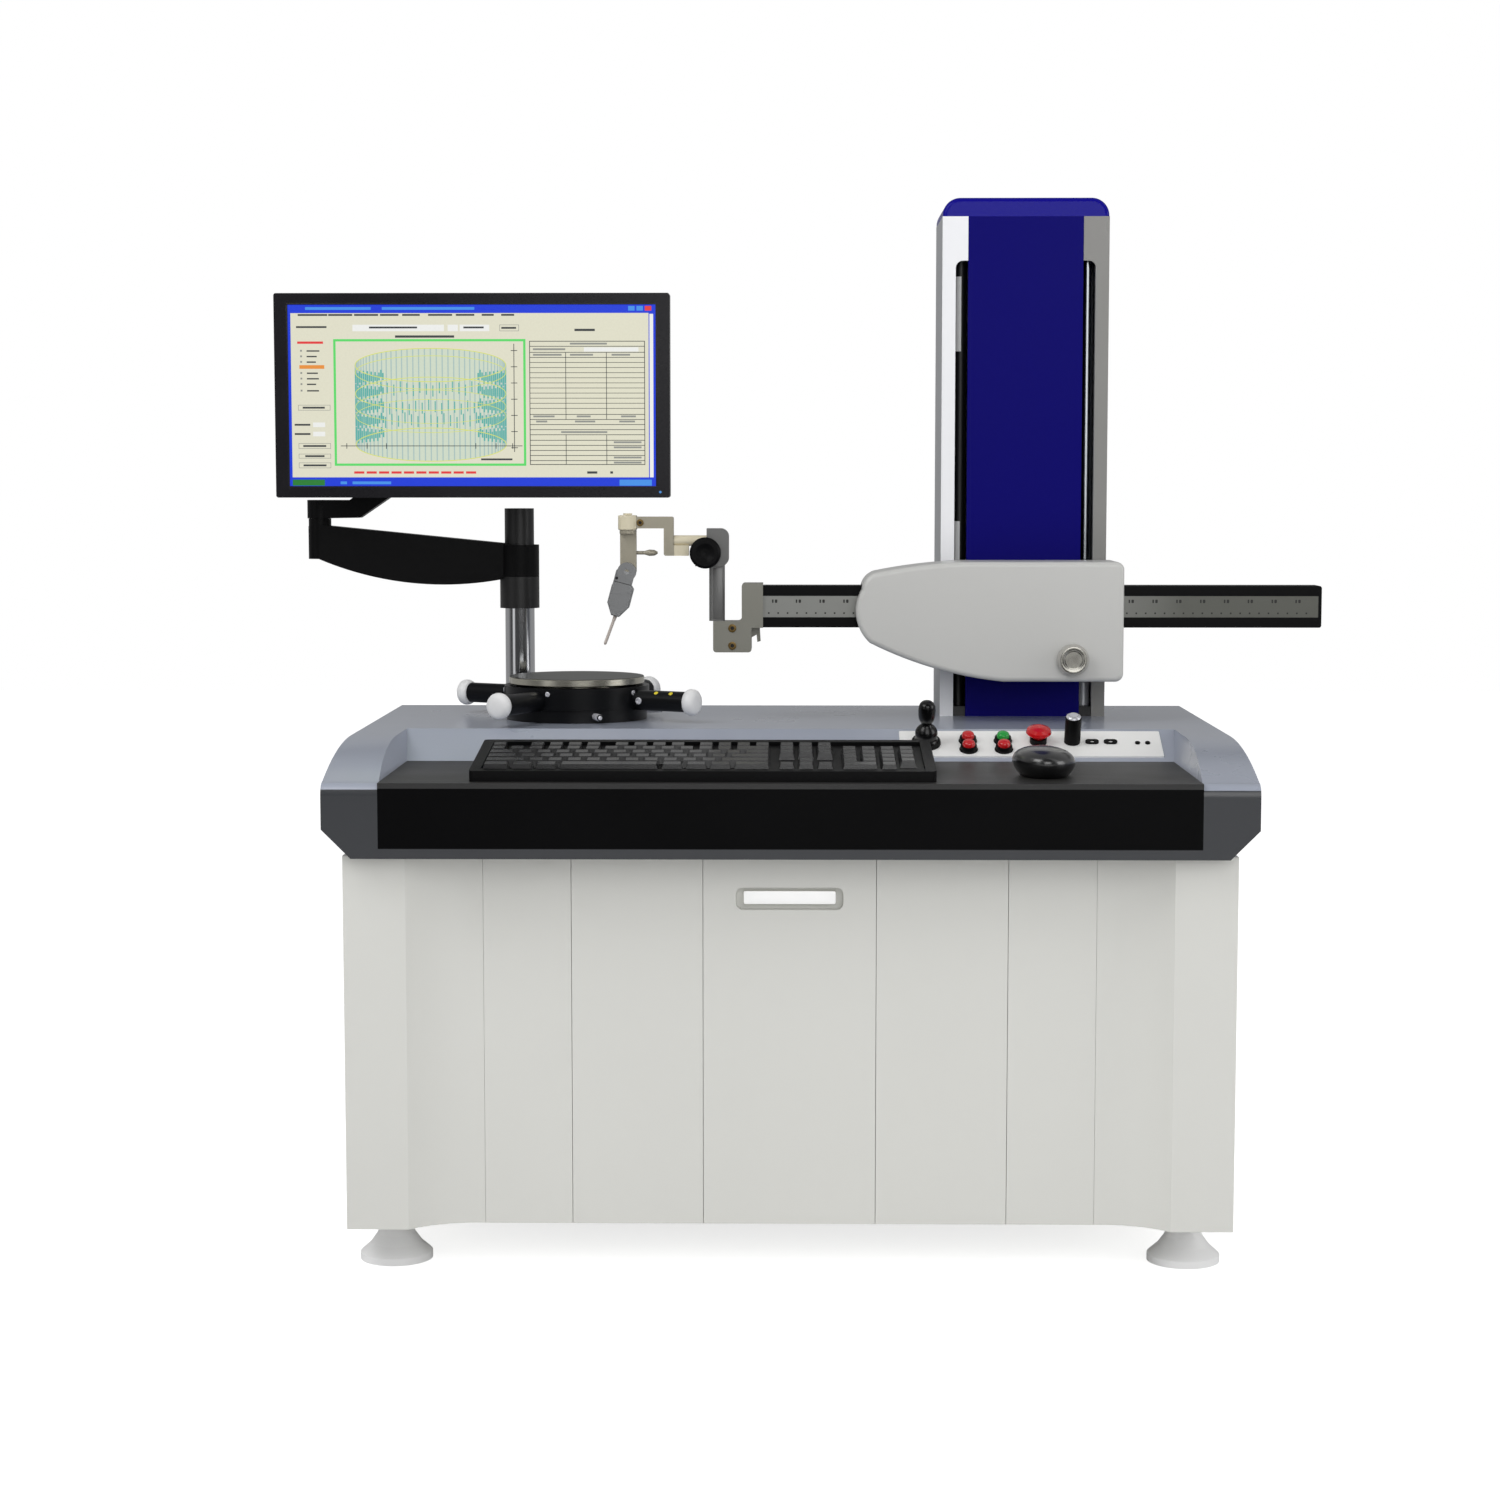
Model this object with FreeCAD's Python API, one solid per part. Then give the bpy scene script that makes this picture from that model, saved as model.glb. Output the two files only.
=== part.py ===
"""A cylindricity tester on its cabinet, built in millimetres.

Frame: X to the right, Y away from the operator, Z up; the origin is on the floor under the middle of the table.
"""
import FreeCAD, Part
import math
import os

V = FreeCAD.Vector
X_AXIS = V(1, 0, 0)
Y_AXIS = V(0, 1, 0)
Z_AXIS = V(0, 0, 1)
BIG = 2000.0

# fits and gaps
RUN = 0.05              # radial clearance of a shaft in its bore
SEAT = 0.3              # gap between curved or moving faces that only come near each other
SLIDE_GAP = 0.2         # each side of a flat slide in its guide

# table, with the raised cheeks left and right of the keyboard recess
TABLE_WIDTH = 1020.0
TABLE_DEPTH = 673.0
TABLE_TOP = 588.0
TABLE_BOTTOM = 473.0
TABLE_TOP_THICK = 64.0
CHEEK_FRONT_TOP = TABLE_TOP - 32.0
CHEEK_ROLL_LENGTH = 212.0
CHEEK_NOSE_R = 14.0
SIDE_BEVEL = 32.0
RECESS_HALF = 448.0
RECESS_FLARE = 9.0
SHELF_TOP = CHEEK_FRONT_TOP
SHELF_THICK = 6.0
SLOPE_BACK = -19.0      # Y of the crease at the top of the sloping panel
SLOPE_RUN = 69.0
APRON_BOTTOM = TABLE_BOTTOM + 11.0
APRON_THICK = 3.0

# cabinet
CABINET_INSET_X = 19.0  # how far the cabinet stands back under the table's sides
CABINET_INSET_Y = 25.5
CABINET_WIDTH = TABLE_WIDTH - 2 * CABINET_INSET_X
CABINET_BOTTOM = 55.0
CABINET_FRONT = CABINET_INSET_Y - TABLE_DEPTH / 2
CABINET_BACK = TABLE_DEPTH / 2 - CABINET_INSET_Y
SHEET = 4.0
PILLAR_WIDTH = 69.0
CABINET_RECESS = 30.0
SWEEP_WIDTH = 82.0      # curved part between a pillar and the flat middle front
RECESS_EDGE = CABINET_WIDTH / 2 - PILLAR_WIDTH - SWEEP_WIDTH
SEAM_OUTER = 242.0
SEAM_INNER = 96.0
SEAM = 0.6
PANEL_RETURN = 14.0
PULL_WIDTH = 123.0
PULL_HEIGHT = 29.0
PULL_Z = TABLE_BOTTOM - 51.0
PULL_DEPTH = 16.0
PULL_PLATE_WIDTH = 102.0
PULL_PLATE_HEIGHT = 14.5
RUNNER_HEIGHT = 16.0
TRAY_LENGTH = 470.0
TRAY_SIDE = 40.0
COMPUTER_WIDTH = 165.0
COMPUTER_HEIGHT = 355.0
COMPUTER_DEPTH = 400.0
COMPUTER_SHEET = 1.5

# feet
FOOT_X = CABINET_WIDTH / 2 - 43.0
FOOT_Y = CABINET_BACK - 89.0
FOOT_PAD_R = 41.0
FOOT_STEM_R = 14.0
FOOT_PAD_EDGE = 10.0
FOOT_BELL = 30.0

# worktable
SPINDLE_X = -265.0
SPINDLE_Y = 134.5
DRUM_R = 90.0
BASE_RING_R = 87.0
DRUM_TOP = TABLE_TOP + 42.0
STAGE_BOTTOM = TABLE_TOP + 16.3
DRUM_WALL = 14.0
STAGE_FLOOR = 4.7
SHAFT_R = 20.0
BOSS_R = 40.0
BOSS_DEPTH = 28.0
SHAFT_DEPTH = 55.0
PLATE_THICK = 5.0
SLIDE_PLATE_R = 70.0
LEVEL_PLATE_R = 66.0
LEVEL_GAP = 0.8
DISC_R = 84.0
DISC_THICK = 9.0
DISC_TOP = TABLE_TOP + 53.0
DISC_BOSS_R = 60.0
KNOB_FIRST_AZIMUTH = -29.5
KNOB_Z = TABLE_TOP + 26.0
BARREL_R = 12.5
BARREL_END = 160.0
KNOB_CAP_R = 15.0
KNOB_CAP_LENGTH = 16.0
KNOB_SHAFT_R = 4.0
PEG_FIRST_AZIMUTH = -71.0
PEG_Z = TABLE_TOP + 8.5
PEG_R = 4.0
PEG_END = 110.0

# measuring column
COLUMN_X = 291.0
COLUMN_WIDTH = 206.0
COLUMN_FRONT = 168.5
COLUMN_DEPTH = 160.0
COLUMN_TOP = 1230.0
CAP_HEIGHT = 23.0
CAP_CORNER = 22.0
CAP_EDGE_R = 6.0
TRIM_THICK = 3.0
SLOT_WIDTH = 15.5
SLOT_TOP = COLUMN_TOP - 77.0
SLOT_CORNER = 9.0
CORE_WALL = 6.0
WEB_THICK = 12.0
COVER_WIDTH = 142.0
COVER_DEPTH = 8.0
COVER_SKIN = 2.5
RAIL_R = 8.0
RAIL_Y = COLUMN_FRONT + 27.5
SCREW_R = 8.0
SCREW_Y = COLUMN_FRONT + 67.5

# carriage on the column
CARRIAGE_FRONT = COLUMN_FRONT - 114.0
CARRIAGE_BACK = COLUMN_FRONT - 33.5
CARRIAGE_LEFT = COLUMN_X - 209.0
CARRIAGE_RIGHT = COLUMN_X + 113.6
CARRIAGE_BOTTOM = TABLE_TOP + 51.0
ARM_BOTTOM = CARRIAGE_BOTTOM + 64.5
ARM_HEIGHT = 51.0
CARRIAGE_TOP = ARM_BOTTOM + ARM_HEIGHT + 29.9
CARRIAGE_WALL = 4.0
CARRIAGE_CORNER = 10.0
CARRIAGE_EDGE_R = 6.0
MOUNT_PLATE = 8.0
SADDLE_PAD = COLUMN_FRONT - 8.5      # Y of the back of the pad in front of the column
TONGUE_THICK = 12.0
SADDLE_BOTTOM = CARRIAGE_BOTTOM + 16.0
SADDLE_TOP = CARRIAGE_TOP - 9.4
BEARING_HALF = 16.0
GUIDE_LEFT = COLUMN_X - 161.0
GUIDE_RIGHT = COLUMN_X + 69.0
GUIDE_WALL = 8.0
LOCK_KNOB_X = COLUMN_X + 51.5
LOCK_KNOB_Z = ARM_BOTTOM - 37.0
LOCK_KNOB_R = 19.0
LOCK_KNOB_LENGTH = 16.0
LOCK_SHAFT_R = 4.0

# radial arm
ARM_LEFT = CARRIAGE_LEFT - 115.0
ARM_RIGHT = ARM_LEFT + 681.0
ARM_FRONT = COLUMN_FRONT - 84.0
ARM_DEPTH = 36.0
ARM_WALL = 4.0
SCALE_HEIGHT = 26.0
SCALE_THICK = 1.2
SCALE_GROOVE = 1.5
ARM_CORNER = 3.0

# end bracket, link and probe
BRACKET_WIDTH = 26.0
BRACKET_OVER = 3.0
BRACKET_INNER_R = 5.0
LEVER_HALF = 5.0
BLOCK_LEFT = ARM_LEFT - 61.0
BLOCK_RIGHT = ARM_LEFT - 14.0
BLOCK_BOTTOM = ARM_BOTTOM - 30.5
BLOCK_TOP = ARM_BOTTOM + 7.5
LINK_LEFT = BLOCK_LEFT - 5.0
LINK_WIDTH = 19.0
KNUCKLE_LEFT = LINK_LEFT - 17.0
KNUCKLE_RIGHT = LINK_LEFT + 24.0
KNUCKLE_BOTTOM = BLOCK_TOP + 67.0
KNUCKLE_TOP = KNUCKLE_BOTTOM + 46.0
KNUCKLE_STEP_LEFT = LINK_LEFT - 3.0
KNUCKLE_STEP_Z = KNUCKLE_TOP - 24.0
KNUCKLE_CORNER = 10.0
PROBE_Y = ARM_FRONT + 16.5
PROBE_HALF = 7.0
CRANK_Z = KNUCKLE_BOTTOM + 31.0
CRANK_SHAFT_R = 6.5
CRANK_SHAFT_RIGHT = KNUCKLE_RIGHT - 1.0
CRANK_X = KNUCKLE_LEFT - 38.6
CRANK_LIMB = 12.0
CRANK_FOOT_BOTTOM = CRANK_Z - 18.4
CRANK_FOOT_RIGHT = KNUCKLE_LEFT - 8.0
CRANK_TOP = CRANK_Z + 29.3
CRANK_TOP_LIMB = 14.3
CLAMP_KNOB_X = KNUCKLE_LEFT + 12.6
CLAMP_KNOB_Z = CRANK_Z - 14.5
CLAMP_KNOB_R = 19.0
CLAMP_KNOB_LENGTH = 15.0
CLAMP_SHAFT_R = 3.5
SWIVEL_X = CRANK_X - 44.4
SWIVEL_R = 11.75
SWIVEL_PIN_R = 3.0
SWIVEL_BUTTON_R = 5.5
SWIVEL_BUTTON_LENGTH = 2.0
SWIVEL_COLLAR_R = 10.0
SWIVEL_COLLAR_LENGTH = 4.0
HEAD_TOP = CRANK_TOP + 1.7
HEAD_BOTTOM = HEAD_TOP - 18.0
BLADE_HALF = 10.5
BLADE_THICK = 8.0
LEVER_Z = HEAD_BOTTOM - 28.0
LEVER_R = 4.5
LEVER_LENGTH = 27.0
PIVOT_X = SWIVEL_X - 1.0
PIVOT_Z = HEAD_BOTTOM - 51.0
PIVOT_PIN_R = 3.0
PIVOT_DISC_R = 11.5
PIVOT_GAP = 0.3
SENSOR_WIDTH = 27.0
SENSOR_DEPTH = 24.0
SENSOR_TOP_DROP = 14.0
SENSOR_NECK_HALF = 8.0
SENSOR_LENGTH = 42.0
SENSOR_TAPER = 14.0
SENSOR_LEAN = 15.0
SENSOR_NOSE_HALF = 5.0
SENSOR_SHOULDER = 5.0
SENSOR_EDGE_R = 1.5
STYLUS_R = 2.4
STYLUS_TIP_R = 1.9
STYLUS_LENGTH = 38.0
STYLUS_LEAN = 20.5
STYLUS_BORE = 3.3
STYLUS_INSET = 8.0

# monitor and its arm
POST_X = -352.0
POST_INSET = 20.5       # from the table's back edge to the post's axis
POST_Y = TABLE_DEPTH / 2 - POST_INSET
POST_R = 19.0
POST_TOP = TABLE_TOP + 258.0
POST_BASE = 8.0
COLLAR_R = 25.5
COLLAR_BOTTOM = TABLE_TOP + 129.0
HUB_BOTTOM = COLLAR_BOTTOM + 41.0
HUB_TOP = HUB_BOTTOM + 41.0
ELBOW_X = POST_X - 257.0
ELBOW_Y = POST_Y - 16.0
ELBOW_R = 14.5
ELBOW_BOTTOM = HUB_BOTTOM + 25.0
ELBOW_TOP = ELBOW_BOTTOM + 50.0
LOWER_ARM_THICK = 30.0
ELBOW_PIN_R = 7.0
UPPER_BOSS_TOP = ELBOW_TOP + 24.0
UPPER_ARM_THICK = 26.0
UPPER_ARM_HIGH = 26.0
PAN_X = POST_X - 46.3
PAN_Y = POST_Y - 54.0
PAN_BOSS_R = 16.0
PAN_BOSS_BOTTOM = ELBOW_TOP + 105.0
PAN_BOSS_TOP = PAN_BOSS_BOTTOM + 34.0
PAN_PIN_R = 7.0
PAN_PIN_TOP = PAN_BOSS_TOP + 32.0
TILT_Y = PAN_Y - 32.5
TILT_Z = PAN_BOSS_TOP + 16.0
TILT_R = 8.0
TILT_PIN_R = 5.0
TILT_PIN_HALF = 30.0
NECK_HALF = 14.0
MONITOR_WIDTH = 495.0
MONITOR_HEIGHT = 254.5
MONITOR_FRONT = TILT_Y - 40.0
MONITOR_DEPTH = 30.0
BEZEL_SIDE = 17.5
BEZEL_BOTTOM = 14.5
MONITOR_CORNER = 3.0
SCREEN_THICK = 4.0
SCREEN_SET_BACK = 1.0
LUG_THICK = 8.0

# keyboard
KEYBOARD_LEFT = -350.0
KEYBOARD_WIDTH = 510.0
KEYBOARD_FRONT = 15.0 - TABLE_DEPTH / 2
KEYBOARD_DEPTH = 170.0
KEYBOARD_FRONT_HIGH = 12.0
KEYBOARD_REAR_HIGH = 31.0
KEYBOARD_WELL = 4.0
KEYBOARD_RIM = 12.0
KEY_PITCH_X = 21.2
KEY_PITCH_Y = 21.0
KEY_GAP = 2.6
KEY_TAPER = 2.6
KEY_HIGH = 8.5
KEY_ROWS = 6
KEY_TRAVEL = 3.5

# mouse
MOUSE_X = 283.0
MOUSE_Y = 90.5 - TABLE_DEPTH / 2
MOUSE_HALF_WIDTH = 35.0
MOUSE_HALF_LENGTH = 56.0
MOUSE_HIGH = 33.0
MOUSE_SKIRT = 7.0
WHEEL_R = 12.0
WHEEL_WIDTH = 7.0
WHEEL_FORWARD = 26.0    # from the mouse's middle towards its nose

# sloping control panel: places are along X and up the slope from its foot
PLATE_WIDTH = 308.0
PLATE_RIGHT = RECESS_HALF - 10.4
PLATE_LEFT = PLATE_RIGHT - PLATE_WIDTH
PLATE_LOW = 9.0
PLATE_HIGH = 68.0
PLATE_T = 2.0
BUTTON_X = (PLATE_LEFT + 80.4, PLATE_LEFT + 121.7)
BUTTON_S = (24.3, 43.8)
BUTTON_R = 7.5
BUTTON_COLLAR = 2.0
BUTTON_COLLAR_HIGH = 6.0
BUTTON_TOP = 14.0
BUTTON_TRAVEL = 3.0
STOP_X = PLATE_LEFT + 163.2
STOP_S = 41.5
STOP_R = 15.0
STOP_STEM_R = 7.0
STOP_COLLAR_R = 10.0
STOP_COLLAR_HIGH = 7.0
STOP_TOP = 22.0
SPEED_X = PLATE_LEFT + 203.2
SPEED_S = 42.0
SPEED_R = 9.5
SPEED_HIGH = 40.0
SPEED_SHAFT_R = 3.0
STICK_X = PLATE_LEFT + 30.9
STICK_S = 38.0
STICK_HOLE_R = 10.0
STICK_SHAFT_R = 3.0
STICK_HANDLE_R = 9.0
STICK_HANDLE_LOW = 27.0
STICK_HANDLE_TOP = 57.0
GIMBAL_R = 7.5
GIMBAL_BORE = 5.5
GIMBAL_HIGH = 3.0
BOOT_R = 15.0
BOOT_BORE = 11.0
BOOT_HIGH = 20.0
SOCKET_X = (PLATE_LEFT + 226.6, PLATE_LEFT + 248.3)
SOCKET_S = 41.6
SOCKET_LENGTH = 16.0
SOCKET_WIDTH = 9.0
LAMP_X = (PLATE_LEFT + 279.9, PLATE_LEFT + 291.8)
LAMP_S = 39.5
LAMP_R = 3.0
POCKET_DEPTH = 16.0


# shapes that every sub-part is made from
def box(x0, x1, y0, y1, z0, z1):
    """A block between two corners."""
    return Part.makeBox(x1 - x0, y1 - y0, z1 - z0, V(x0, y0, z0))


def rod(start, axis, radius, length):
    """A cylinder from its start, along its axis."""
    return Part.makeCylinder(radius, length, start, axis)


def pipe(start, axis, outer, bore, length):
    """A tube from its start, along its axis."""
    return rod(start, axis, outer, length).cut(rod(start, axis, bore, length))


def prism(points, along):
    """A closed outline of corner points, pushed along a vector."""
    wire = Part.makePolygon(points + [points[0]])
    return Part.Face(wire).extrude(along)


def turned(profile, start, axis):
    """A solid of revolution from (radius, height) pairs, stood on start along axis."""
    corners = [V(radius, 0, height) for radius, height in profile]
    face = Part.Face(Part.makePolygon(corners + [corners[0]]))
    solid = face.revolve(V(0, 0, 0), Z_AXIS, 360)
    solid.Placement = FreeCAD.Placement(start, FreeCAD.Rotation(Z_AXIS, axis))
    return solid


def round_along(shape, axis, radius, keep=None):
    """Fillet the straight edges that run along an axis, or those of them that keep accepts."""
    edges = []
    for edge in shape.Edges:
        if edge.Curve.TypeId != "Part::GeomLine":
            continue
        direction = edge.tangentAt(edge.FirstParameter)
        if abs(abs(direction.dot(axis)) - 1) > 1e-6:
            continue
        if keep is None or keep(edge.CenterOfMass):
            edges.append(edge)
    return shape.makeFillet(radius, edges)


def joined(shapes):
    """One solid from shapes that meet or overlap."""
    return shapes[0].multiFuse(shapes[1:]).removeSplitter()


def polar(radius, azimuth):
    """The step from the spindle's axis to a radius and azimuth, in degrees."""
    angle = math.radians(azimuth)
    return V(radius * math.cos(angle), radius * math.sin(angle), 0)


def save(node, *solids):
    """Write one node, as a solid or as a group of separate solids."""
    pieces = []
    for solid in solids:
        pieces += solid.Solids
    shape = pieces[0] if len(pieces) == 1 else Part.makeCompound(pieces)
    if not shape.isValid():
        print(node, "is not valid")
    shape.exportStep("parts/%s.step" % node)


# places that several sub-parts share
HALF = TABLE_WIDTH / 2
FRONT = -TABLE_DEPTH / 2
BACK = TABLE_DEPTH / 2
SLOPE_FOOT = SLOPE_BACK - SLOPE_RUN
APRON_TOP = SHELF_TOP - SHELF_THICK
SLOPE_ANGLE = math.atan2(TABLE_TOP - SHELF_TOP, SLOPE_RUN)
SLOT_CENTRE = COVER_WIDTH / 2 + SLOT_WIDTH / 2
COLUMN_BACK = COLUMN_FRONT + COLUMN_DEPTH
CORE_FRONT = COLUMN_FRONT + TRIM_THICK
ARM_TOP = ARM_BOTTOM + ARM_HEIGHT
ARM_BACK = ARM_FRONT + ARM_DEPTH
SCALE_BOTTOM = ARM_BOTTOM + (ARM_HEIGHT - SCALE_HEIGHT) / 2


def on_slope(shape):
    """Lay a shape made about (x, s, w) on the sloping panel: s runs up the slope, w stands off it."""
    turn = FreeCAD.Rotation(X_AXIS, math.degrees(SLOPE_ANGLE))
    place = FreeCAD.Placement(V(0, SLOPE_FOOT, SHELF_TOP), turn)
    return shape.transformed(place.toMatrix())


def table_profile():
    """The table seen from its side: a flat top that rolls down to the front edge of the cheeks."""
    roll_start = FRONT + CHEEK_NOSE_R + CHEEK_ROLL_LENGTH
    roll_end = V(0, FRONT + CHEEK_NOSE_R, CHEEK_FRONT_TOP)
    drop = TABLE_TOP - CHEEK_FRONT_TOP
    roll_r = (CHEEK_ROLL_LENGTH ** 2 + drop ** 2) / (2 * drop)
    half_turn = math.asin(CHEEK_ROLL_LENGTH / roll_r) / 2
    middle = V(0, roll_start - roll_r * math.sin(half_turn),
               TABLE_TOP - roll_r * (1 - math.cos(half_turn)))
    start = V(0, roll_start, TABLE_TOP)
    nose_end = V(0, FRONT, CHEEK_FRONT_TOP - CHEEK_NOSE_R)
    turn = math.radians(45)
    nose_middle = V(0, FRONT + CHEEK_NOSE_R * (1 - math.cos(turn)),
                    CHEEK_FRONT_TOP - CHEEK_NOSE_R * (1 - math.sin(turn)))
    edges = [
        Part.makeLine(V(0, BACK, TABLE_BOTTOM), V(0, BACK, TABLE_TOP)),
        Part.makeLine(V(0, BACK, TABLE_TOP), start),
        Part.Arc(start, middle, roll_end).toShape(),
        Part.Arc(roll_end, nose_middle, nose_end).toShape(),
        Part.makeLine(nose_end, V(0, FRONT, TABLE_BOTTOM)),
        Part.makeLine(V(0, FRONT, TABLE_BOTTOM), V(0, BACK, TABLE_BOTTOM)),
    ]
    return Part.Face(Part.Wire(edges))


def apron_outline(y):
    """Corner points of the dark front panel, as wide as the recess above it."""
    return [V(-RECESS_HALF, y, APRON_TOP), V(RECESS_HALF, y, APRON_TOP),
            V(RECESS_HALF, y, APRON_BOTTOM), V(-RECESS_HALF, y, APRON_BOTTOM)]


def table_housing():
    body = table_profile().extrude(V(TABLE_WIDTH, 0, 0))
    body.translate(V(-HALF, 0, 0))
    for side in (-1, 1):
        corner = [V(side * HALF, FRONT - 1, TABLE_BOTTOM), V(side * (HALF - SIDE_BEVEL), FRONT - 1, TABLE_BOTTOM),
                  V(side * HALF, FRONT - 1, TABLE_BOTTOM + SIDE_BEVEL)]
        body = body.cut(prism(corner, V(0, TABLE_DEPTH + 2, 0)))
    # recess for the keyboard, between flared side walls and under the sloping panel
    floor = SHELF_TOP
    flare = [V(-RECESS_HALF, FRONT - 1, floor), V(RECESS_HALF, FRONT - 1, floor),
             V(RECESS_HALF + RECESS_FLARE, FRONT - 1, TABLE_TOP + 1),
             V(-RECESS_HALF - RECESS_FLARE, FRONT - 1, TABLE_TOP + 1)]
    trough = prism(flare, V(0, TABLE_DEPTH, 0))
    side_view = [V(-BIG, FRONT - 1, floor), V(-BIG, SLOPE_FOOT, floor), V(-BIG, SLOPE_BACK, TABLE_TOP),
                 V(-BIG, SLOPE_BACK, TABLE_TOP + 1), V(-BIG, FRONT - 1, TABLE_TOP + 1)]
    trough = trough.common(prism(side_view, V(2 * BIG, 0, 0)))
    body = body.cut(trough)
    body = body.cut(box(-RECESS_HALF, RECESS_HALF, FRONT - 1, SLOPE_FOOT, floor - SHELF_THICK, floor + 1))
    # seat of the front panel, open pocket underneath and the spindle's bore
    body = body.cut(prism(apron_outline(FRONT - 1), V(0, APRON_THICK + 1, 0)))
    # the pocket's rim is where the cabinet's sheets seat
    inner = CABINET_WIDTH / 2 - PANEL_RETURN
    pocket_front = CABINET_FRONT + CABINET_RECESS + PANEL_RETURN
    pocket_top = TABLE_TOP - TABLE_TOP_THICK
    body = body.cut(box(-inner, inner, pocket_front, CABINET_BACK - SHEET, TABLE_BOTTOM - 1, pocket_top))
    body = body.cut(rod(V(SPINDLE_X, SPINDLE_Y, TABLE_BOTTOM), Z_AXIS, BOSS_R + SEAT, BIG))
    # pockets behind the controls
    for x, s, radius in ((STICK_X, STICK_S, STICK_HOLE_R), (SPEED_X, SPEED_S, SPEED_SHAFT_R + 1)):
        body = body.cut(on_slope(rod(V(x, s, -POCKET_DEPTH), Z_AXIS, radius, 2 * POCKET_DEPTH)))
    save("table_housing", body)


def front_apron():
    save("front_apron", prism(apron_outline(FRONT), V(0, APRON_THICK, 0)))


def keyboard_shelf():
    save("keyboard_shelf", box(-RECESS_HALF, RECESS_HALF, FRONT, SLOPE_FOOT, SHELF_TOP - SHELF_THICK, SHELF_TOP))


# cabinet
def side_panel(side):
    """One side wall, folded round the front pillar and swept back to the flat middle front."""
    outer = CABINET_WIDTH / 2
    inner_front = CABINET_FRONT + CABINET_RECESS
    pillar = outer - PILLAR_WIDTH

    def wall_edge(offset):
        """Points of the sheet's outer (0) or inner face, from the back round to the middle front."""
        start = V(outer - offset, CABINET_BACK, 0)
        corner = V(outer - offset, CABINET_FRONT + offset, 0)
        fold = V(pillar, CABINET_FRONT + offset, 0)
        end = V(RECESS_EDGE, inner_front + offset, 0)
        bulge = V((pillar + RECESS_EDGE) / 2 + CABINET_RECESS / 4, (fold.y + end.y) / 2 + CABINET_RECESS / 4, 0)
        return start, corner, fold, bulge, end

    a = wall_edge(0)
    b = wall_edge(SHEET)
    edges = [Part.makeLine(a[0], a[1]), Part.makeLine(a[1], a[2]), Part.Arc(a[2], a[3], a[4]).toShape(),
             Part.makeLine(a[4], b[4]), Part.Arc(b[4], b[3], b[2]).toShape(),
             Part.makeLine(b[2], b[1]), Part.makeLine(b[1], b[0]), Part.makeLine(b[0], a[0])]
    panel = Part.Face(Part.Wire(edges)).extrude(V(0, 0, TABLE_BOTTOM - CABINET_BOTTOM))
    panel.translate(V(0, 0, CABINET_BOTTOM))
    if side < 0:
        panel = panel.mirror(V(0, 0, 0), X_AXIS)
    return panel


def folded_front(x0, x1):
    """A front sheet with its edges folded back."""
    y = CABINET_FRONT + CABINET_RECESS
    low = CABINET_BOTTOM + SEAM
    high = TABLE_BOTTOM - SEAM
    block = box(x0, x1, y, y + PANEL_RETURN, low, high)
    return block.cut(box(x0 + SHEET / 2, x1 - SHEET / 2, y + SHEET / 2, y + PANEL_RETURN + 1,
                         low + SHEET / 2, high - SHEET / 2))


def cabinet():
    save("cabinet_side_panels", side_panel(-1), side_panel(1))
    inside = CABINET_WIDTH / 2 - SHEET
    front = CABINET_FRONT + CABINET_RECESS
    back = CABINET_BACK - SHEET
    save("cabinet_back_panel", box(-inside, inside, back, CABINET_BACK, CABINET_BOTTOM, TABLE_BOTTOM))
    floor = box(-inside, inside, front + SHEET + PANEL_RETURN, back, CABINET_BOTTOM, CABINET_BOTTOM + SHEET)
    lip = box(-RECESS_EDGE, RECESS_EDGE, front, front + SHEET + PANEL_RETURN, CABINET_BOTTOM,
              CABINET_BOTTOM + SEAM)
    runners = []
    for side in (-1, 1):
        x = side * (SEAM_INNER - PANEL_RETURN)
        runners.append(box(x - SHEET, x + SHEET, front + SHEET + PANEL_RETURN, back - 1,
                           CABINET_BOTTOM + SHEET, CABINET_BOTTOM + SHEET + RUNNER_HEIGHT))
    save("cabinet_floor", joined([floor, lip] + runners))
    fronts = []
    for side in (-1, 1):
        for near, far in ((SEAM_INNER, SEAM_OUTER), (SEAM_OUTER, RECESS_EDGE)):
            low, high = sorted((side * (near + SEAM / 2), side * (far - SEAM / 2)))
            fronts.append(folded_front(low, high))
    save("cabinet_front_panels", *fronts)


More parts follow.
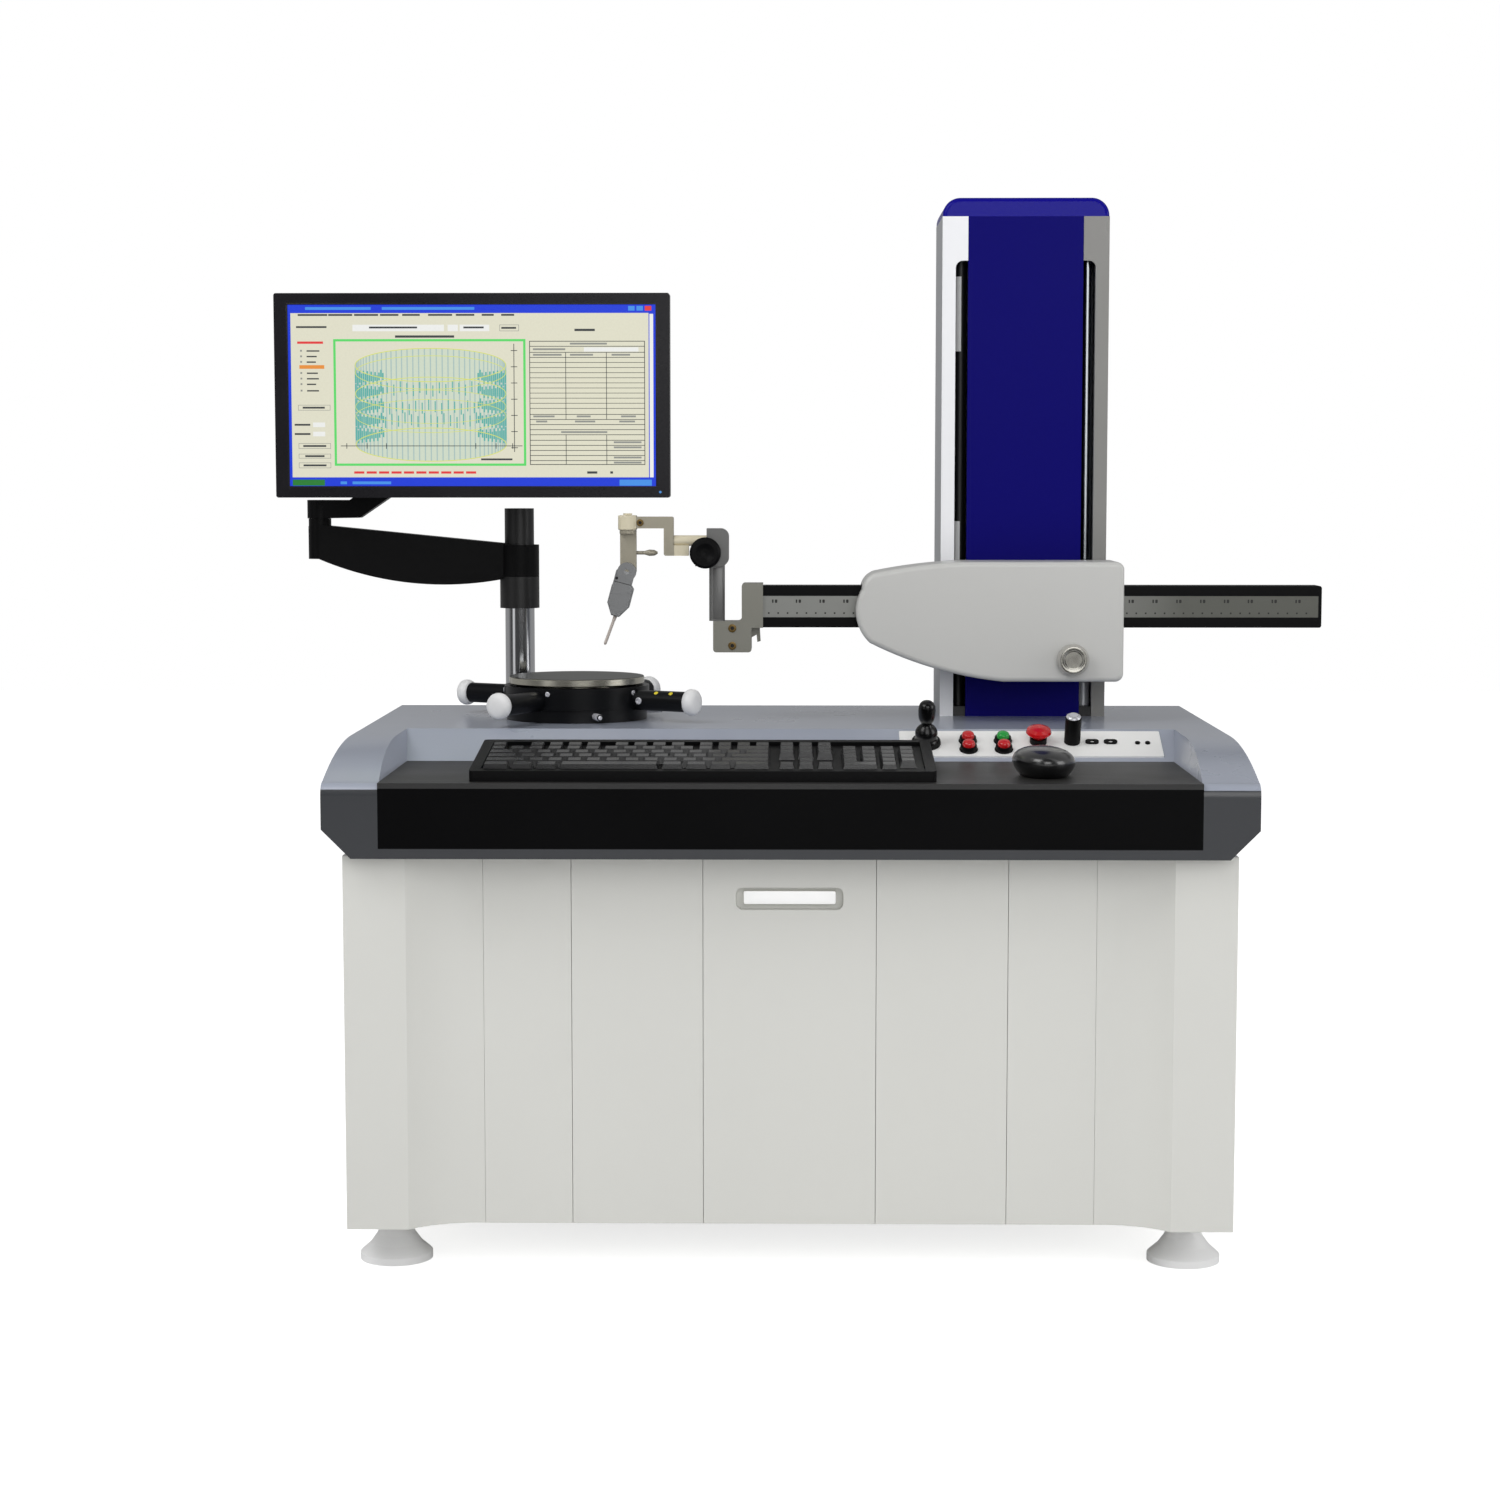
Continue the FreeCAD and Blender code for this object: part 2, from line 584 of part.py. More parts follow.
def drawer():
    """The middle front pulls out on two runners and carries the computer."""
    half = SEAM_INNER - SEAM / 2
    y = CABINET_FRONT + CABINET_RECESS
    face = folded_front(-half, half)
    low = PULL_Z - PULL_HEIGHT / 2
    high = PULL_Z + PULL_HEIGHT / 2
    x = PULL_WIDTH / 2
    pan = round_along(box(-x, x, y, y + PULL_DEPTH, low, high), Y_AXIS, PULL_HEIGHT / 3)
    inside = round_along(box(-x + SHEET / 2, x - SHEET / 2, y - 1, y + PULL_DEPTH - SHEET / 2,
                             low + SHEET / 2, high - SHEET / 2), Y_AXIS, PULL_HEIGHT / 3 - SHEET / 2)
    face = face.fuse(pan).cut(inside)
    plate_x = PULL_PLATE_WIDTH / 2
    plate_z = PULL_PLATE_HEIGHT / 2
    plate = box(-plate_x, plate_x, y + PULL_DEPTH - 1.5 * SHEET, y + PULL_DEPTH - SHEET / 2,
                PULL_Z - plate_z, PULL_Z + plate_z)
    tray_z = CABINET_BOTTOM + SHEET + RUNNER_HEIGHT + SEAT
    tray_x = SEAM_INNER - PANEL_RETURN / 2
    tray_y = y + PANEL_RETURN
    floor = box(-tray_x, tray_x, y + SHEET / 2, y + TRAY_LENGTH, tray_z, tray_z + SHEET)
    sides = [box(-tray_x, -tray_x + SHEET / 2, tray_y, y + TRAY_LENGTH, tray_z, tray_z + TRAY_SIDE),
             box(tray_x - SHEET / 2, tray_x, tray_y, y + TRAY_LENGTH, tray_z, tray_z + TRAY_SIDE)]
    save("drawer", joined([face, floor, plate] + sides))
    case_y = tray_y + SHEET
    case = box(-COMPUTER_WIDTH / 2, COMPUTER_WIDTH / 2, case_y, case_y + COMPUTER_DEPTH,
               tray_z + SHEET, tray_z + SHEET + COMPUTER_HEIGHT)
    case = case.cut(box(-COMPUTER_WIDTH / 2 + COMPUTER_SHEET, COMPUTER_WIDTH / 2 - COMPUTER_SHEET,
                        case_y + COMPUTER_SHEET, case_y + COMPUTER_DEPTH - COMPUTER_SHEET,
                        tray_z + SHEET + COMPUTER_SHEET, tray_z + SHEET + COMPUTER_HEIGHT - COMPUTER_SHEET))
    vent = COMPUTER_WIDTH / 2
    slots = []
    for row in range(6):
        z = tray_z + TRAY_SIDE + SHEET + row * RUNNER_HEIGHT
        slots.append(box(-vent / 2, vent / 2, case_y + COMPUTER_DEPTH - SHEET, case_y + COMPUTER_DEPTH + 1,
                         z, z + SHEET))
    case = round_along(case, Z_AXIS, SHEET)
    save("computer", case.cut(Part.makeCompound(slots)))


def levelling_feet():
    """Bell-shaped pads on threaded stems, locked at their height."""
    feet = []
    stem = CABINET_BOTTOM
    neck = FOOT_PAD_EDGE + FOOT_BELL
    collar = FOOT_STEM_R + 3
    for x in (-FOOT_X, FOOT_X):
        for y in (-FOOT_Y, FOOT_Y):
            profile = [(0, 0), (FOOT_PAD_R, 0), (FOOT_PAD_R, FOOT_PAD_EDGE * 0.8),
                       (FOOT_PAD_R * 0.95, FOOT_PAD_EDGE), (FOOT_PAD_R * 0.72, FOOT_PAD_EDGE + FOOT_BELL * 0.28),
                       (FOOT_PAD_R * 0.54, FOOT_PAD_EDGE + FOOT_BELL * 0.62), (collar, neck),
                       (FOOT_STEM_R, neck), (FOOT_STEM_R, stem), (0, stem)]
            feet.append(turned(profile, V(x, y, 0), Z_AXIS))
    save("levelling_feet", *feet)


# rotary worktable
def worktable():
    def at(z):
        return V(SPINDLE_X, SPINDLE_Y, z)

    seat_top = STAGE_BOTTOM - SEAT
    base = rod(at(TABLE_TOP), Z_AXIS, BASE_RING_R, seat_top - TABLE_TOP)
    base = base.fuse(rod(at(TABLE_TOP - BOSS_DEPTH), Z_AXIS, BOSS_R, BOSS_DEPTH))
    base = base.cut(rod(at(TABLE_BOTTOM), Z_AXIS, SHAFT_R + RUN, BIG))
    for turn in range(4):
        azimuth = PEG_FIRST_AZIMUTH + 90 * turn
        outward = polar(1, azimuth)
        start = at(PEG_Z) + polar(BASE_RING_R - PEG_R, azimuth)
        base = base.fuse(rod(start, outward, PEG_R, PEG_END - BASE_RING_R + PEG_R))
    save("spindle_housing", base.removeSplitter())

    cup = rod(at(STAGE_BOTTOM), Z_AXIS, DRUM_R, DRUM_TOP - STAGE_BOTTOM)
    floor = STAGE_BOTTOM + STAGE_FLOOR
    cup = cup.cut(rod(at(floor), Z_AXIS, DRUM_R - DRUM_WALL, BIG))
    knobs = []
    for turn in range(4):
        azimuth = KNOB_FIRST_AZIMUTH + 90 * turn
        outward = polar(1, azimuth)
        root = DRUM_R - DRUM_WALL / 2
        cup = cup.fuse(rod(at(KNOB_Z) + polar(root, azimuth), outward, BARREL_R, BARREL_END - root))
        inner = root + SEAT
        cup = cup.cut(rod(at(KNOB_Z) + polar(inner - SEAT, azimuth), outward, KNOB_SHAFT_R + RUN, BIG))
        cap = rod(at(KNOB_Z) + polar(BARREL_END + SEAT, azimuth), outward, KNOB_CAP_R, KNOB_CAP_LENGTH)
        cap = cap.makeFillet(1.5, [cap.Edges[0], cap.Edges[2]])
        stem = rod(at(KNOB_Z) + polar(inner, azimuth), outward, KNOB_SHAFT_R, BARREL_END - inner + 2)
        knobs.append(joined([cap, stem]))
    cup = cup.cut(rod(at(TABLE_TOP), Z_AXIS, BASE_RING_R + 1, STAGE_BOTTOM - TABLE_TOP))
    cup = cup.fuse(rod(at(STAGE_BOTTOM - SHAFT_DEPTH), Z_AXIS, SHAFT_R, SHAFT_DEPTH))
    save("rotating_stage", cup.removeSplitter())
    for node, knob in zip(("centering_knob_x", "centering_knob_y", "levelling_knob_x", "levelling_knob_y"), knobs):
        save(node, knob)

    first = floor
    second = first + PLATE_THICK
    third = second + PLATE_THICK + LEVEL_GAP
    fourth = third + PLATE_THICK + LEVEL_GAP
    save("centering_slide_x", rod(at(first), Z_AXIS, SLIDE_PLATE_R, PLATE_THICK))
    save("centering_slide_y", rod(at(second), Z_AXIS, SLIDE_PLATE_R, PLATE_THICK))
    save("levelling_plate", rod(at(third), Z_AXIS, LEVEL_PLATE_R, PLATE_THICK))
    disc_low = DISC_TOP - DISC_THICK
    disc = rod(at(fourth), Z_AXIS, DISC_BOSS_R, disc_low - fourth + 1)
    plate = rod(at(disc_low), Z_AXIS, DISC_R, DISC_THICK)
    rims = [edge for edge in plate.Edges if edge.Curve.TypeId == "Part::GeomCircle"]
    save("worktable_disc", joined([disc, plate.makeChamfer(1.0, rims)]))


# measuring column
def column():
    left = COLUMN_X - COLUMN_WIDTH / 2
    right = COLUMN_X + COLUMN_WIDTH / 2
    body_top = COLUMN_TOP - CAP_HEIGHT
    half_cover = COVER_WIDTH / 2
    slot_out = half_cover + SLOT_WIDTH
    cover_back = COLUMN_FRONT + COVER_DEPTH

    core = box(left, right, CORE_FRONT, COLUMN_BACK, TABLE_TOP, body_top)
    core = core.cut(box(left + CORE_WALL, right - CORE_WALL, CORE_FRONT + CORE_WALL, COLUMN_BACK - CORE_WALL,
                        TABLE_TOP + WEB_THICK, body_top - WEB_THICK))
    # the front is open for the cover and the two slots, apart from a web above and below
    core = core.cut(box(COLUMN_X - slot_out, COLUMN_X + slot_out, CORE_FRONT - 1, CORE_FRONT + CORE_WALL + 1,
                        TABLE_TOP + WEB_THICK, SLOT_TOP))
    core = core.cut(box(COLUMN_X - half_cover - SEAT, COLUMN_X + half_cover + SEAT, CORE_FRONT - 1, cover_back,
                        TABLE_TOP, body_top))
    for side in (-1, 1):
        x = COLUMN_X + side * SLOT_CENTRE
        core = core.cut(rod(V(x, RAIL_Y, TABLE_TOP + WEB_THICK / 2), Z_AXIS, RAIL_R + RUN, body_top - TABLE_TOP - WEB_THICK))
    core = core.cut(rod(V(COLUMN_X, SCREW_Y, TABLE_TOP + WEB_THICK / 2), Z_AXIS, SCREW_R + RUN,
                        body_top - TABLE_TOP - WEB_THICK))
    save("column_core", core)

    trims = []
    for side in (-1, 1):
        near = COLUMN_X + side * (half_cover + SEAT)
        far = COLUMN_X + side * COLUMN_WIDTH / 2
        x0, x1 = sorted((near, far))
        strip = box(x0, x1, COLUMN_FRONT, CORE_FRONT, TABLE_TOP, body_top)
        slot_near = COLUMN_X + side * (half_cover - 1)
        slot_far = COLUMN_X + side * slot_out
        s0, s1 = sorted((slot_near, slot_far))
        slot = box(s0, s1, COLUMN_FRONT - 1, CORE_FRONT + 1, TABLE_TOP - 1, SLOT_TOP)
        slot = round_along(slot, Y_AXIS, SLOT_CORNER,
                           lambda c: c.z > SLOT_TOP - 1 and abs(c.x - slot_far) < 1)
        trims.append(strip.cut(slot))
    save("column_side_trims", *trims)

    cover = box(COLUMN_X - half_cover, COLUMN_X + half_cover, COLUMN_FRONT, cover_back, TABLE_TOP, body_top)
    cover = cover.cut(box(COLUMN_X - half_cover + COVER_SKIN, COLUMN_X + half_cover - COVER_SKIN,
                          COLUMN_FRONT + COVER_SKIN, cover_back + 1, TABLE_TOP + WEB_THICK, body_top - WEB_THICK))
    save("column_front_cover", cover)

    cap = box(left, right, COLUMN_FRONT, COLUMN_BACK, body_top, COLUMN_TOP)
    cap = round_along(cap, Y_AXIS, CAP_CORNER, lambda c: c.z > body_top + 1)
    rim = [edge for edge in cap.Edges
           if edge.BoundBox.YMax - edge.BoundBox.YMin < 0.01 and edge.BoundBox.ZMax > body_top + 1]
    cap = cap.makeFillet(CAP_EDGE_R, rim)
    save("column_top_cap", cap)

    rails = []
    rail_low = TABLE_TOP + WEB_THICK / 2
    rail_length = body_top - WEB_THICK / 2 - rail_low
    for side in (-1, 1):
        rails.append(rod(V(COLUMN_X + side * SLOT_CENTRE, RAIL_Y, rail_low), Z_AXIS, RAIL_R, rail_length))
    save("guide_rails", *rails)
    save("lead_screw", rod(V(COLUMN_X, SCREW_Y, rail_low), Z_AXIS, SCREW_R, rail_length))


# carriage
def carriage_outline():
    """The housing seen from the front: square at the right, drawn down to a nose at the left."""
    r = CARRIAGE_CORNER
    left, right = CARRIAGE_LEFT, CARRIAGE_RIGHT
    low, high = CARRIAGE_BOTTOM, CARRIAGE_TOP
    k = r * (1 - math.cos(math.radians(45)))
    belly_right = V(left + 177, 0, low)
    belly_middle = V(left + 84, 0, low + 19)
    nose_low = V(left + 15, 0, low + 47)
    nose_middle = V(left + 1, 0, low + 68)
    nose_high = V(left + 5, 0, high - 34)
    brow_left = V(left + 22, 0, high - 13)
    brow_middle = V(left + 70, 0, high - 5)
    brow_right = V(left + 126, 0, high)
    edges = [
        Part.makeLine(V(right - r, 0, low), belly_right),
        Part.Arc(belly_right, belly_middle, nose_low).toShape(),
        Part.Arc(nose_low, nose_middle, nose_high).toShape(),
        Part.Arc(nose_high, V(left + 11, 0, high - 20), brow_left).toShape(),
        Part.Arc(brow_left, brow_middle, brow_right).toShape(),
        Part.makeLine(brow_right, V(right - r, 0, high)),
        Part.Arc(V(right - r, 0, high), V(right - k, 0, high - k), V(right, 0, high - r)).toShape(),
        Part.makeLine(V(right, 0, high - r), V(right, 0, low + r)),
        Part.Arc(V(right, 0, low + r), V(right - k, 0, low + k), V(right - r, 0, low)).toShape(),
    ]
    return Part.Face(Part.Wire(edges))


def carriage():
    outline = carriage_outline()
    outline.translate(V(0, CARRIAGE_FRONT, 0))
    shell = outline.extrude(V(0, CARRIAGE_BACK - CARRIAGE_FRONT, 0))
    front_edges = [edge for edge in shell.Edges if abs(edge.BoundBox.YMax - CARRIAGE_FRONT) < 0.01]
    shell = shell.makeFillet(CARRIAGE_EDGE_R, front_edges)
    inner = carriage_outline().makeOffset2D(-CARRIAGE_WALL)
    inner.translate(V(0, CARRIAGE_FRONT + CARRIAGE_WALL, 0))
    shell = shell.cut(inner.extrude(V(0, CARRIAGE_BACK - CARRIAGE_FRONT, 0)))
    window = 1.5
    shell = shell.cut(box(CARRIAGE_LEFT - 20, CARRIAGE_RIGHT + 20, ARM_FRONT - window, ARM_BACK + window,
                          ARM_BOTTOM - window, ARM_TOP + window))
    knob_start = V(LOCK_KNOB_X, CARRIAGE_FRONT - 1, LOCK_KNOB_Z)
    save("carriage_shell", shell.cut(rod(knob_start, Y_AXIS, LOCK_SHAFT_R + RUN, CARRIAGE_WALL + 2)))

    # mounting plate, arm guide, and two tongues through the column's slots to the bearings
    back = carriage_outline()
    back.translate(V(0, CARRIAGE_BACK, 0))
    block = back.extrude(V(0, MOUNT_PLATE, 0))
    reach = SLOT_CENTRE + BEARING_HALF
    pieces = [block, box(COLUMN_X - reach, COLUMN_X + reach, CARRIAGE_BACK + MOUNT_PLATE, SADDLE_PAD,
                         SADDLE_BOTTOM, SADDLE_TOP)]
    guide_low = ARM_BOTTOM - SLIDE_GAP - GUIDE_WALL
    guide_high = ARM_TOP + SLIDE_GAP + GUIDE_WALL
    pieces.append(box(GUIDE_LEFT, GUIDE_RIGHT, ARM_FRONT - SLIDE_GAP - GUIDE_WALL, CARRIAGE_BACK, guide_low, guide_high))
    boss = LOCK_SHAFT_R * 4
    pieces.append(box(LOCK_KNOB_X - boss, LOCK_KNOB_X + boss, ARM_FRONT - SLIDE_GAP - GUIDE_WALL, CARRIAGE_BACK,
                      LOCK_KNOB_Z - boss, guide_low))
    bearing_front = RAIL_Y - BEARING_HALF
    bearing_back = RAIL_Y + BEARING_HALF
    for side in (-1, 1):
        x = COLUMN_X + side * SLOT_CENTRE
        pieces.append(box(x - TONGUE_THICK / 2, x + TONGUE_THICK / 2, SADDLE_PAD, bearing_front,
                          SADDLE_BOTTOM, SADDLE_TOP))
        pieces.append(box(x - BEARING_HALF + 1, x + BEARING_HALF - 1, bearing_front, bearing_back,
                          SADDLE_BOTTOM, SADDLE_TOP))
    pieces.append(box(COLUMN_X - SLOT_CENTRE, COLUMN_X + SLOT_CENTRE, bearing_back - SHEET * 2, bearing_back + SHEET,
                      SADDLE_BOTTOM, SADDLE_TOP))
    nut_half = SCREW_R * 2
    pieces.append(box(COLUMN_X - nut_half, COLUMN_X + nut_half, bearing_back, SCREW_Y + nut_half,
                      SADDLE_BOTTOM + GUIDE_WALL * 4, SADDLE_TOP - GUIDE_WALL * 4))
    block = joined(pieces)
    block = block.cut(box(GUIDE_LEFT - 1, GUIDE_RIGHT + 1, ARM_FRONT - SLIDE_GAP, ARM_BACK + SLIDE_GAP,
                          ARM_BOTTOM - SLIDE_GAP, ARM_TOP + SLIDE_GAP))
    for side in (-1, 1):
        x = COLUMN_X + side * SLOT_CENTRE
        block = block.cut(rod(V(x, RAIL_Y, TABLE_TOP), Z_AXIS, RAIL_R + RUN, BIG))
    block = block.cut(rod(V(COLUMN_X, SCREW_Y, TABLE_TOP), Z_AXIS, SCREW_R + RUN, BIG))
    shaft_end = ARM_FRONT + LOCK_KNOB_LENGTH
    block = block.cut(rod(V(LOCK_KNOB_X, 0, LOCK_KNOB_Z), Y_AXIS, LOCK_SHAFT_R + RUN, shaft_end + SEAT))
    save("carriage_block", block)

    knob_back = CARRIAGE_FRONT - SEAT
    knob = dished_knob(LOCK_KNOB_R, LOCK_KNOB_LENGTH, LOCK_SHAFT_R, shaft_end - knob_back)
    knob.Placement = FreeCAD.Placement(V(LOCK_KNOB_X, knob_back, LOCK_KNOB_Z), FreeCAD.Rotation(Z_AXIS, -Y_AXIS))
    save("arm_lock_knob", knob)


def dished_knob(radius, length, shaft_r, shaft_length):
    """A round hand knob standing on its shaft, with a shallow dish in its face."""
    rim = radius * 0.16
    profile = [(0, -shaft_length), (shaft_r, -shaft_length), (shaft_r, 0), (radius - rim, 0),
               (radius, rim), (radius, length - rim), (radius - rim, length), (radius * 0.62, length),
               (radius * 0.3, length - rim * 0.8), (0, length - rim)]
    return turned(profile, V(0, 0, 0), Z_AXIS)


# radial arm
def arm():
    beam = box(ARM_LEFT, ARM_RIGHT, ARM_FRONT, ARM_BACK, ARM_BOTTOM, ARM_TOP)
    beam = beam.cut(box(ARM_LEFT + ARM_WALL, ARM_RIGHT - ARM_WALL, ARM_FRONT + ARM_WALL, ARM_BACK - ARM_WALL,
                        ARM_BOTTOM + ARM_WALL, ARM_TOP - ARM_WALL))
    beam = beam.cut(box(ARM_LEFT - 1, ARM_RIGHT - ARM_WALL, ARM_FRONT - 1, ARM_FRONT + SCALE_GROOVE,
                        SCALE_BOTTOM, SCALE_BOTTOM + SCALE_HEIGHT))
    beam = round_along(beam, Y_AXIS, ARM_CORNER, lambda c: c.x > ARM_RIGHT - 1)
    save("arm_beam", beam)
    save("arm_scale", box(ARM_LEFT, ARM_RIGHT - ARM_WALL, ARM_FRONT + SCALE_GROOVE - SCALE_THICK,
                          ARM_FRONT + SCALE_GROOVE, SCALE_BOTTOM, SCALE_BOTTOM + SCALE_HEIGHT))

    front = ARM_FRONT - BRACKET_OVER
    back = ARM_BACK - BRACKET_OVER * 2
    plate = box(ARM_LEFT - BRACKET_WIDTH, ARM_LEFT, front, back, BLOCK_TOP - 8, ARM_TOP + BRACKET_OVER)
    plate = round_along(plate, Y_AXIS, 4, lambda c: c.z > ARM_TOP and c.x < ARM_LEFT - 1)
    block = box(BLOCK_LEFT, BLOCK_RIGHT, front, back, BLOCK_BOTTOM, BLOCK_TOP)
    block = round_along(block, Y_AXIS, 4, lambda c: c.z < BLOCK_TOP - 1)
    # the catch lever that hangs beside the block
    lever = [V(BLOCK_RIGHT - 1, PROBE_Y - LEVER_HALF, BLOCK_TOP - 8), V(BLOCK_RIGHT + 10, PROBE_Y - LEVER_HALF, BLOCK_TOP - 9),
             V(BLOCK_RIGHT + 11, PROBE_Y - LEVER_HALF, BLOCK_TOP - 25), V(BLOCK_RIGHT + 7, PROBE_Y - LEVER_HALF, BLOCK_TOP - 26),
             V(BLOCK_RIGHT + 6, PROBE_Y - LEVER_HALF, BLOCK_TOP - 17), V(BLOCK_RIGHT - 1, PROBE_Y - LEVER_HALF, BLOCK_TOP - 21)]
    bracket = joined([plate, block, prism(lever, V(0, 2 * LEVER_HALF, 0))])
    bracket = round_along(bracket, Y_AXIS, BRACKET_INNER_R,
                          lambda c: abs(c.z - BLOCK_TOP) < 0.1 and abs(c.x - ARM_LEFT + BRACKET_WIDTH) < 0.1)
    middle = (BLOCK_LEFT + BLOCK_RIGHT) / 2
    for z in (BLOCK_BOTTOM + 9, BLOCK_TOP - 9):
        bracket = bracket.cut(rod(V(middle, front - 1, z), Y_AXIS, 3.6, 3))
    save("arm_end_bracket", bracket)

    bar = box(LINK_LEFT, LINK_LEFT + LINK_WIDTH, PROBE_Y - PROBE_HALF * 1.4, PROBE_Y + PROBE_HALF * 1.4,
              BLOCK_TOP, KNUCKLE_BOTTOM + 4)
    bar = round_along(bar, Z_AXIS, 3)
    knuckle = box(KNUCKLE_LEFT, KNUCKLE_RIGHT, PROBE_Y - PROBE_HALF * 1.9, PROBE_Y + PROBE_HALF * 1.9,
                  KNUCKLE_BOTTOM, KNUCKLE_TOP)
    knuckle = round_along(knuckle, Y_AXIS, KNUCKLE_CORNER, lambda c: c.x > KNUCKLE_LEFT + 1)
    knuckle = knuckle.cut(box(KNUCKLE_LEFT - 1, KNUCKLE_STEP_LEFT, 0, BIG, KNUCKLE_STEP_Z, BIG))
    link = joined([bar, knuckle])
    link = link.cut(rod(V(KNUCKLE_LEFT - 1, PROBE_Y, CRANK_Z), X_AXIS, CRANK_SHAFT_R + RUN, BIG))
    knob_face = PROBE_Y - PROBE_HALF * 1.9
    shaft_length = PROBE_HALF * 2
    link = link.cut(rod(V(CLAMP_KNOB_X, 0, CLAMP_KNOB_Z), Y_AXIS, CLAMP_SHAFT_R + RUN,
                        knob_face + shaft_length + SEAT))
    save("probe_link", link)
    knob = dished_knob(CLAMP_KNOB_R, CLAMP_KNOB_LENGTH, CLAMP_SHAFT_R, shaft_length)
    knob.Placement = FreeCAD.Placement(V(CLAMP_KNOB_X, knob_face - SEAT, CLAMP_KNOB_Z), FreeCAD.Rotation(Z_AXIS, -Y_AXIS))
    save("probe_clamp_knob", knob)


def probe():
    y0 = PROBE_Y - PROBE_HALF
    y1 = PROBE_Y + PROBE_HALF
    top_low = CRANK_TOP - CRANK_TOP_LIMB
    upright = box(CRANK_X, CRANK_X + CRANK_LIMB, y0, y1, CRANK_FOOT_BOTTOM, CRANK_TOP)
    foot = box(CRANK_X, CRANK_FOOT_RIGHT, y0, y1, CRANK_FOOT_BOTTOM, CRANK_Z - CRANK_SHAFT_R + 1)
    top = box(SWIVEL_X + SWIVEL_PIN_R * 2, CRANK_X + CRANK_LIMB, y0, y1, top_low, CRANK_TOP)
    shaft = rod(V(CRANK_X + 1, PROBE_Y, CRANK_Z), X_AXIS, CRANK_SHAFT_R, CRANK_SHAFT_RIGHT - CRANK_X - 1)
    limbs = joined([upright, foot, top])
    limbs = round_along(limbs, Y_AXIS, 2.5,
                        lambda c: (c.z > CRANK_TOP - 1 or c.z < CRANK_FOOT_BOTTOM + 1) and c.x > CRANK_X - 1
                        and c.x < CRANK_X + CRANK_LIMB + 1)
    pin = V(SWIVEL_X, PROBE_Y, HEAD_BOTTOM)
    head = rod(pin, Z_AXIS, SWIVEL_R, HEAD_TOP - HEAD_BOTTOM)
    head = head.makeFillet(SENSOR_EDGE_R, [edge for edge in head.Edges if len(edge.Vertexes) == 1])
    crank = joined([limbs, head, shaft])
    save("probe_crank", crank.cut(rod(pin, Z_AXIS, SWIVEL_PIN_R + RUN, BIG)))

    # the holder hangs from a pin with a button on top and a collar below
    collar_top = HEAD_BOTTOM - SEAT
    collar_low = collar_top - SWIVEL_COLLAR_LENGTH
    button_low = HEAD_TOP + SEAT
    button = rod(V(SWIVEL_X, PROBE_Y, button_low), Z_AXIS, SWIVEL_BUTTON_R, SWIVEL_BUTTON_LENGTH)
    collar = rod(V(SWIVEL_X, PROBE_Y, collar_low), Z_AXIS, SWIVEL_COLLAR_R, SWIVEL_COLLAR_LENGTH)
    stem = rod(V(SWIVEL_X, PROBE_Y, collar_low), Z_AXIS, SWIVEL_PIN_R, button_low - collar_low + 1)
    blade_y = PROBE_Y + 1
    blade = box(SWIVEL_X - BLADE_HALF + 1, SWIVEL_X + BLADE_HALF, blade_y, blade_y + BLADE_THICK, PIVOT_Z,
                collar_top)
    blade_end = rod(V(PIVOT_X + 1, blade_y, PIVOT_Z), Y_AXIS, BLADE_HALF - 1, BLADE_THICK)
    pivot = rod(V(PIVOT_X, PROBE_Y - PROBE_HALF * 1.6, PIVOT_Z), Y_AXIS, PIVOT_PIN_R, PROBE_HALF * 1.6 + 2)
    lever_x = SWIVEL_X + BLADE_HALF - 1
    lever_y = blade_y + BLADE_THICK / 2
    lever = turned([(0, 0), (LEVER_R * 0.5, 0), (LEVER_R * 0.5, LEVER_LENGTH * 0.4), (LEVER_R * 0.88, LEVER_LENGTH * 0.62),
                    (LEVER_R * 0.8, LEVER_LENGTH * 0.85), (LEVER_R * 0.3, LEVER_LENGTH), (0, LEVER_LENGTH)],
                   V(lever_x, lever_y, LEVER_Z), X_AXIS)
    save("sensor_holder", joined([button, stem, collar, blade, blade_end, pivot, lever]))

    # the sensor is made upright under its pivot, then leaned
    block = rod(V(0, -SENSOR_DEPTH / 2, 0), Y_AXIS, PIVOT_DISC_R, SENSOR_DEPTH / 2 + 1 - PIVOT_GAP)
    half = SENSOR_WIDTH / 2
    top = -SENSOR_TOP_DROP
    low = top - SENSOR_LENGTH
    outline = [V(-half + SENSOR_SHOULDER, 0, top), V(half - SENSOR_SHOULDER, 0, top),
               V(half, 0, top - SENSOR_SHOULDER), V(half, 0, low + SENSOR_TAPER),
               V(SENSOR_NOSE_HALF, 0, low), V(-SENSOR_NOSE_HALF, 0, low),
               V(-half, 0, low + SENSOR_TAPER), V(-half, 0, top - SENSOR_SHOULDER)]
    case = prism(outline, V(0, SENSOR_DEPTH, 0))
    case = case.makeFillet(SENSOR_EDGE_R, case.Edges)
    case.translate(V(0, -SENSOR_DEPTH / 2, 0))
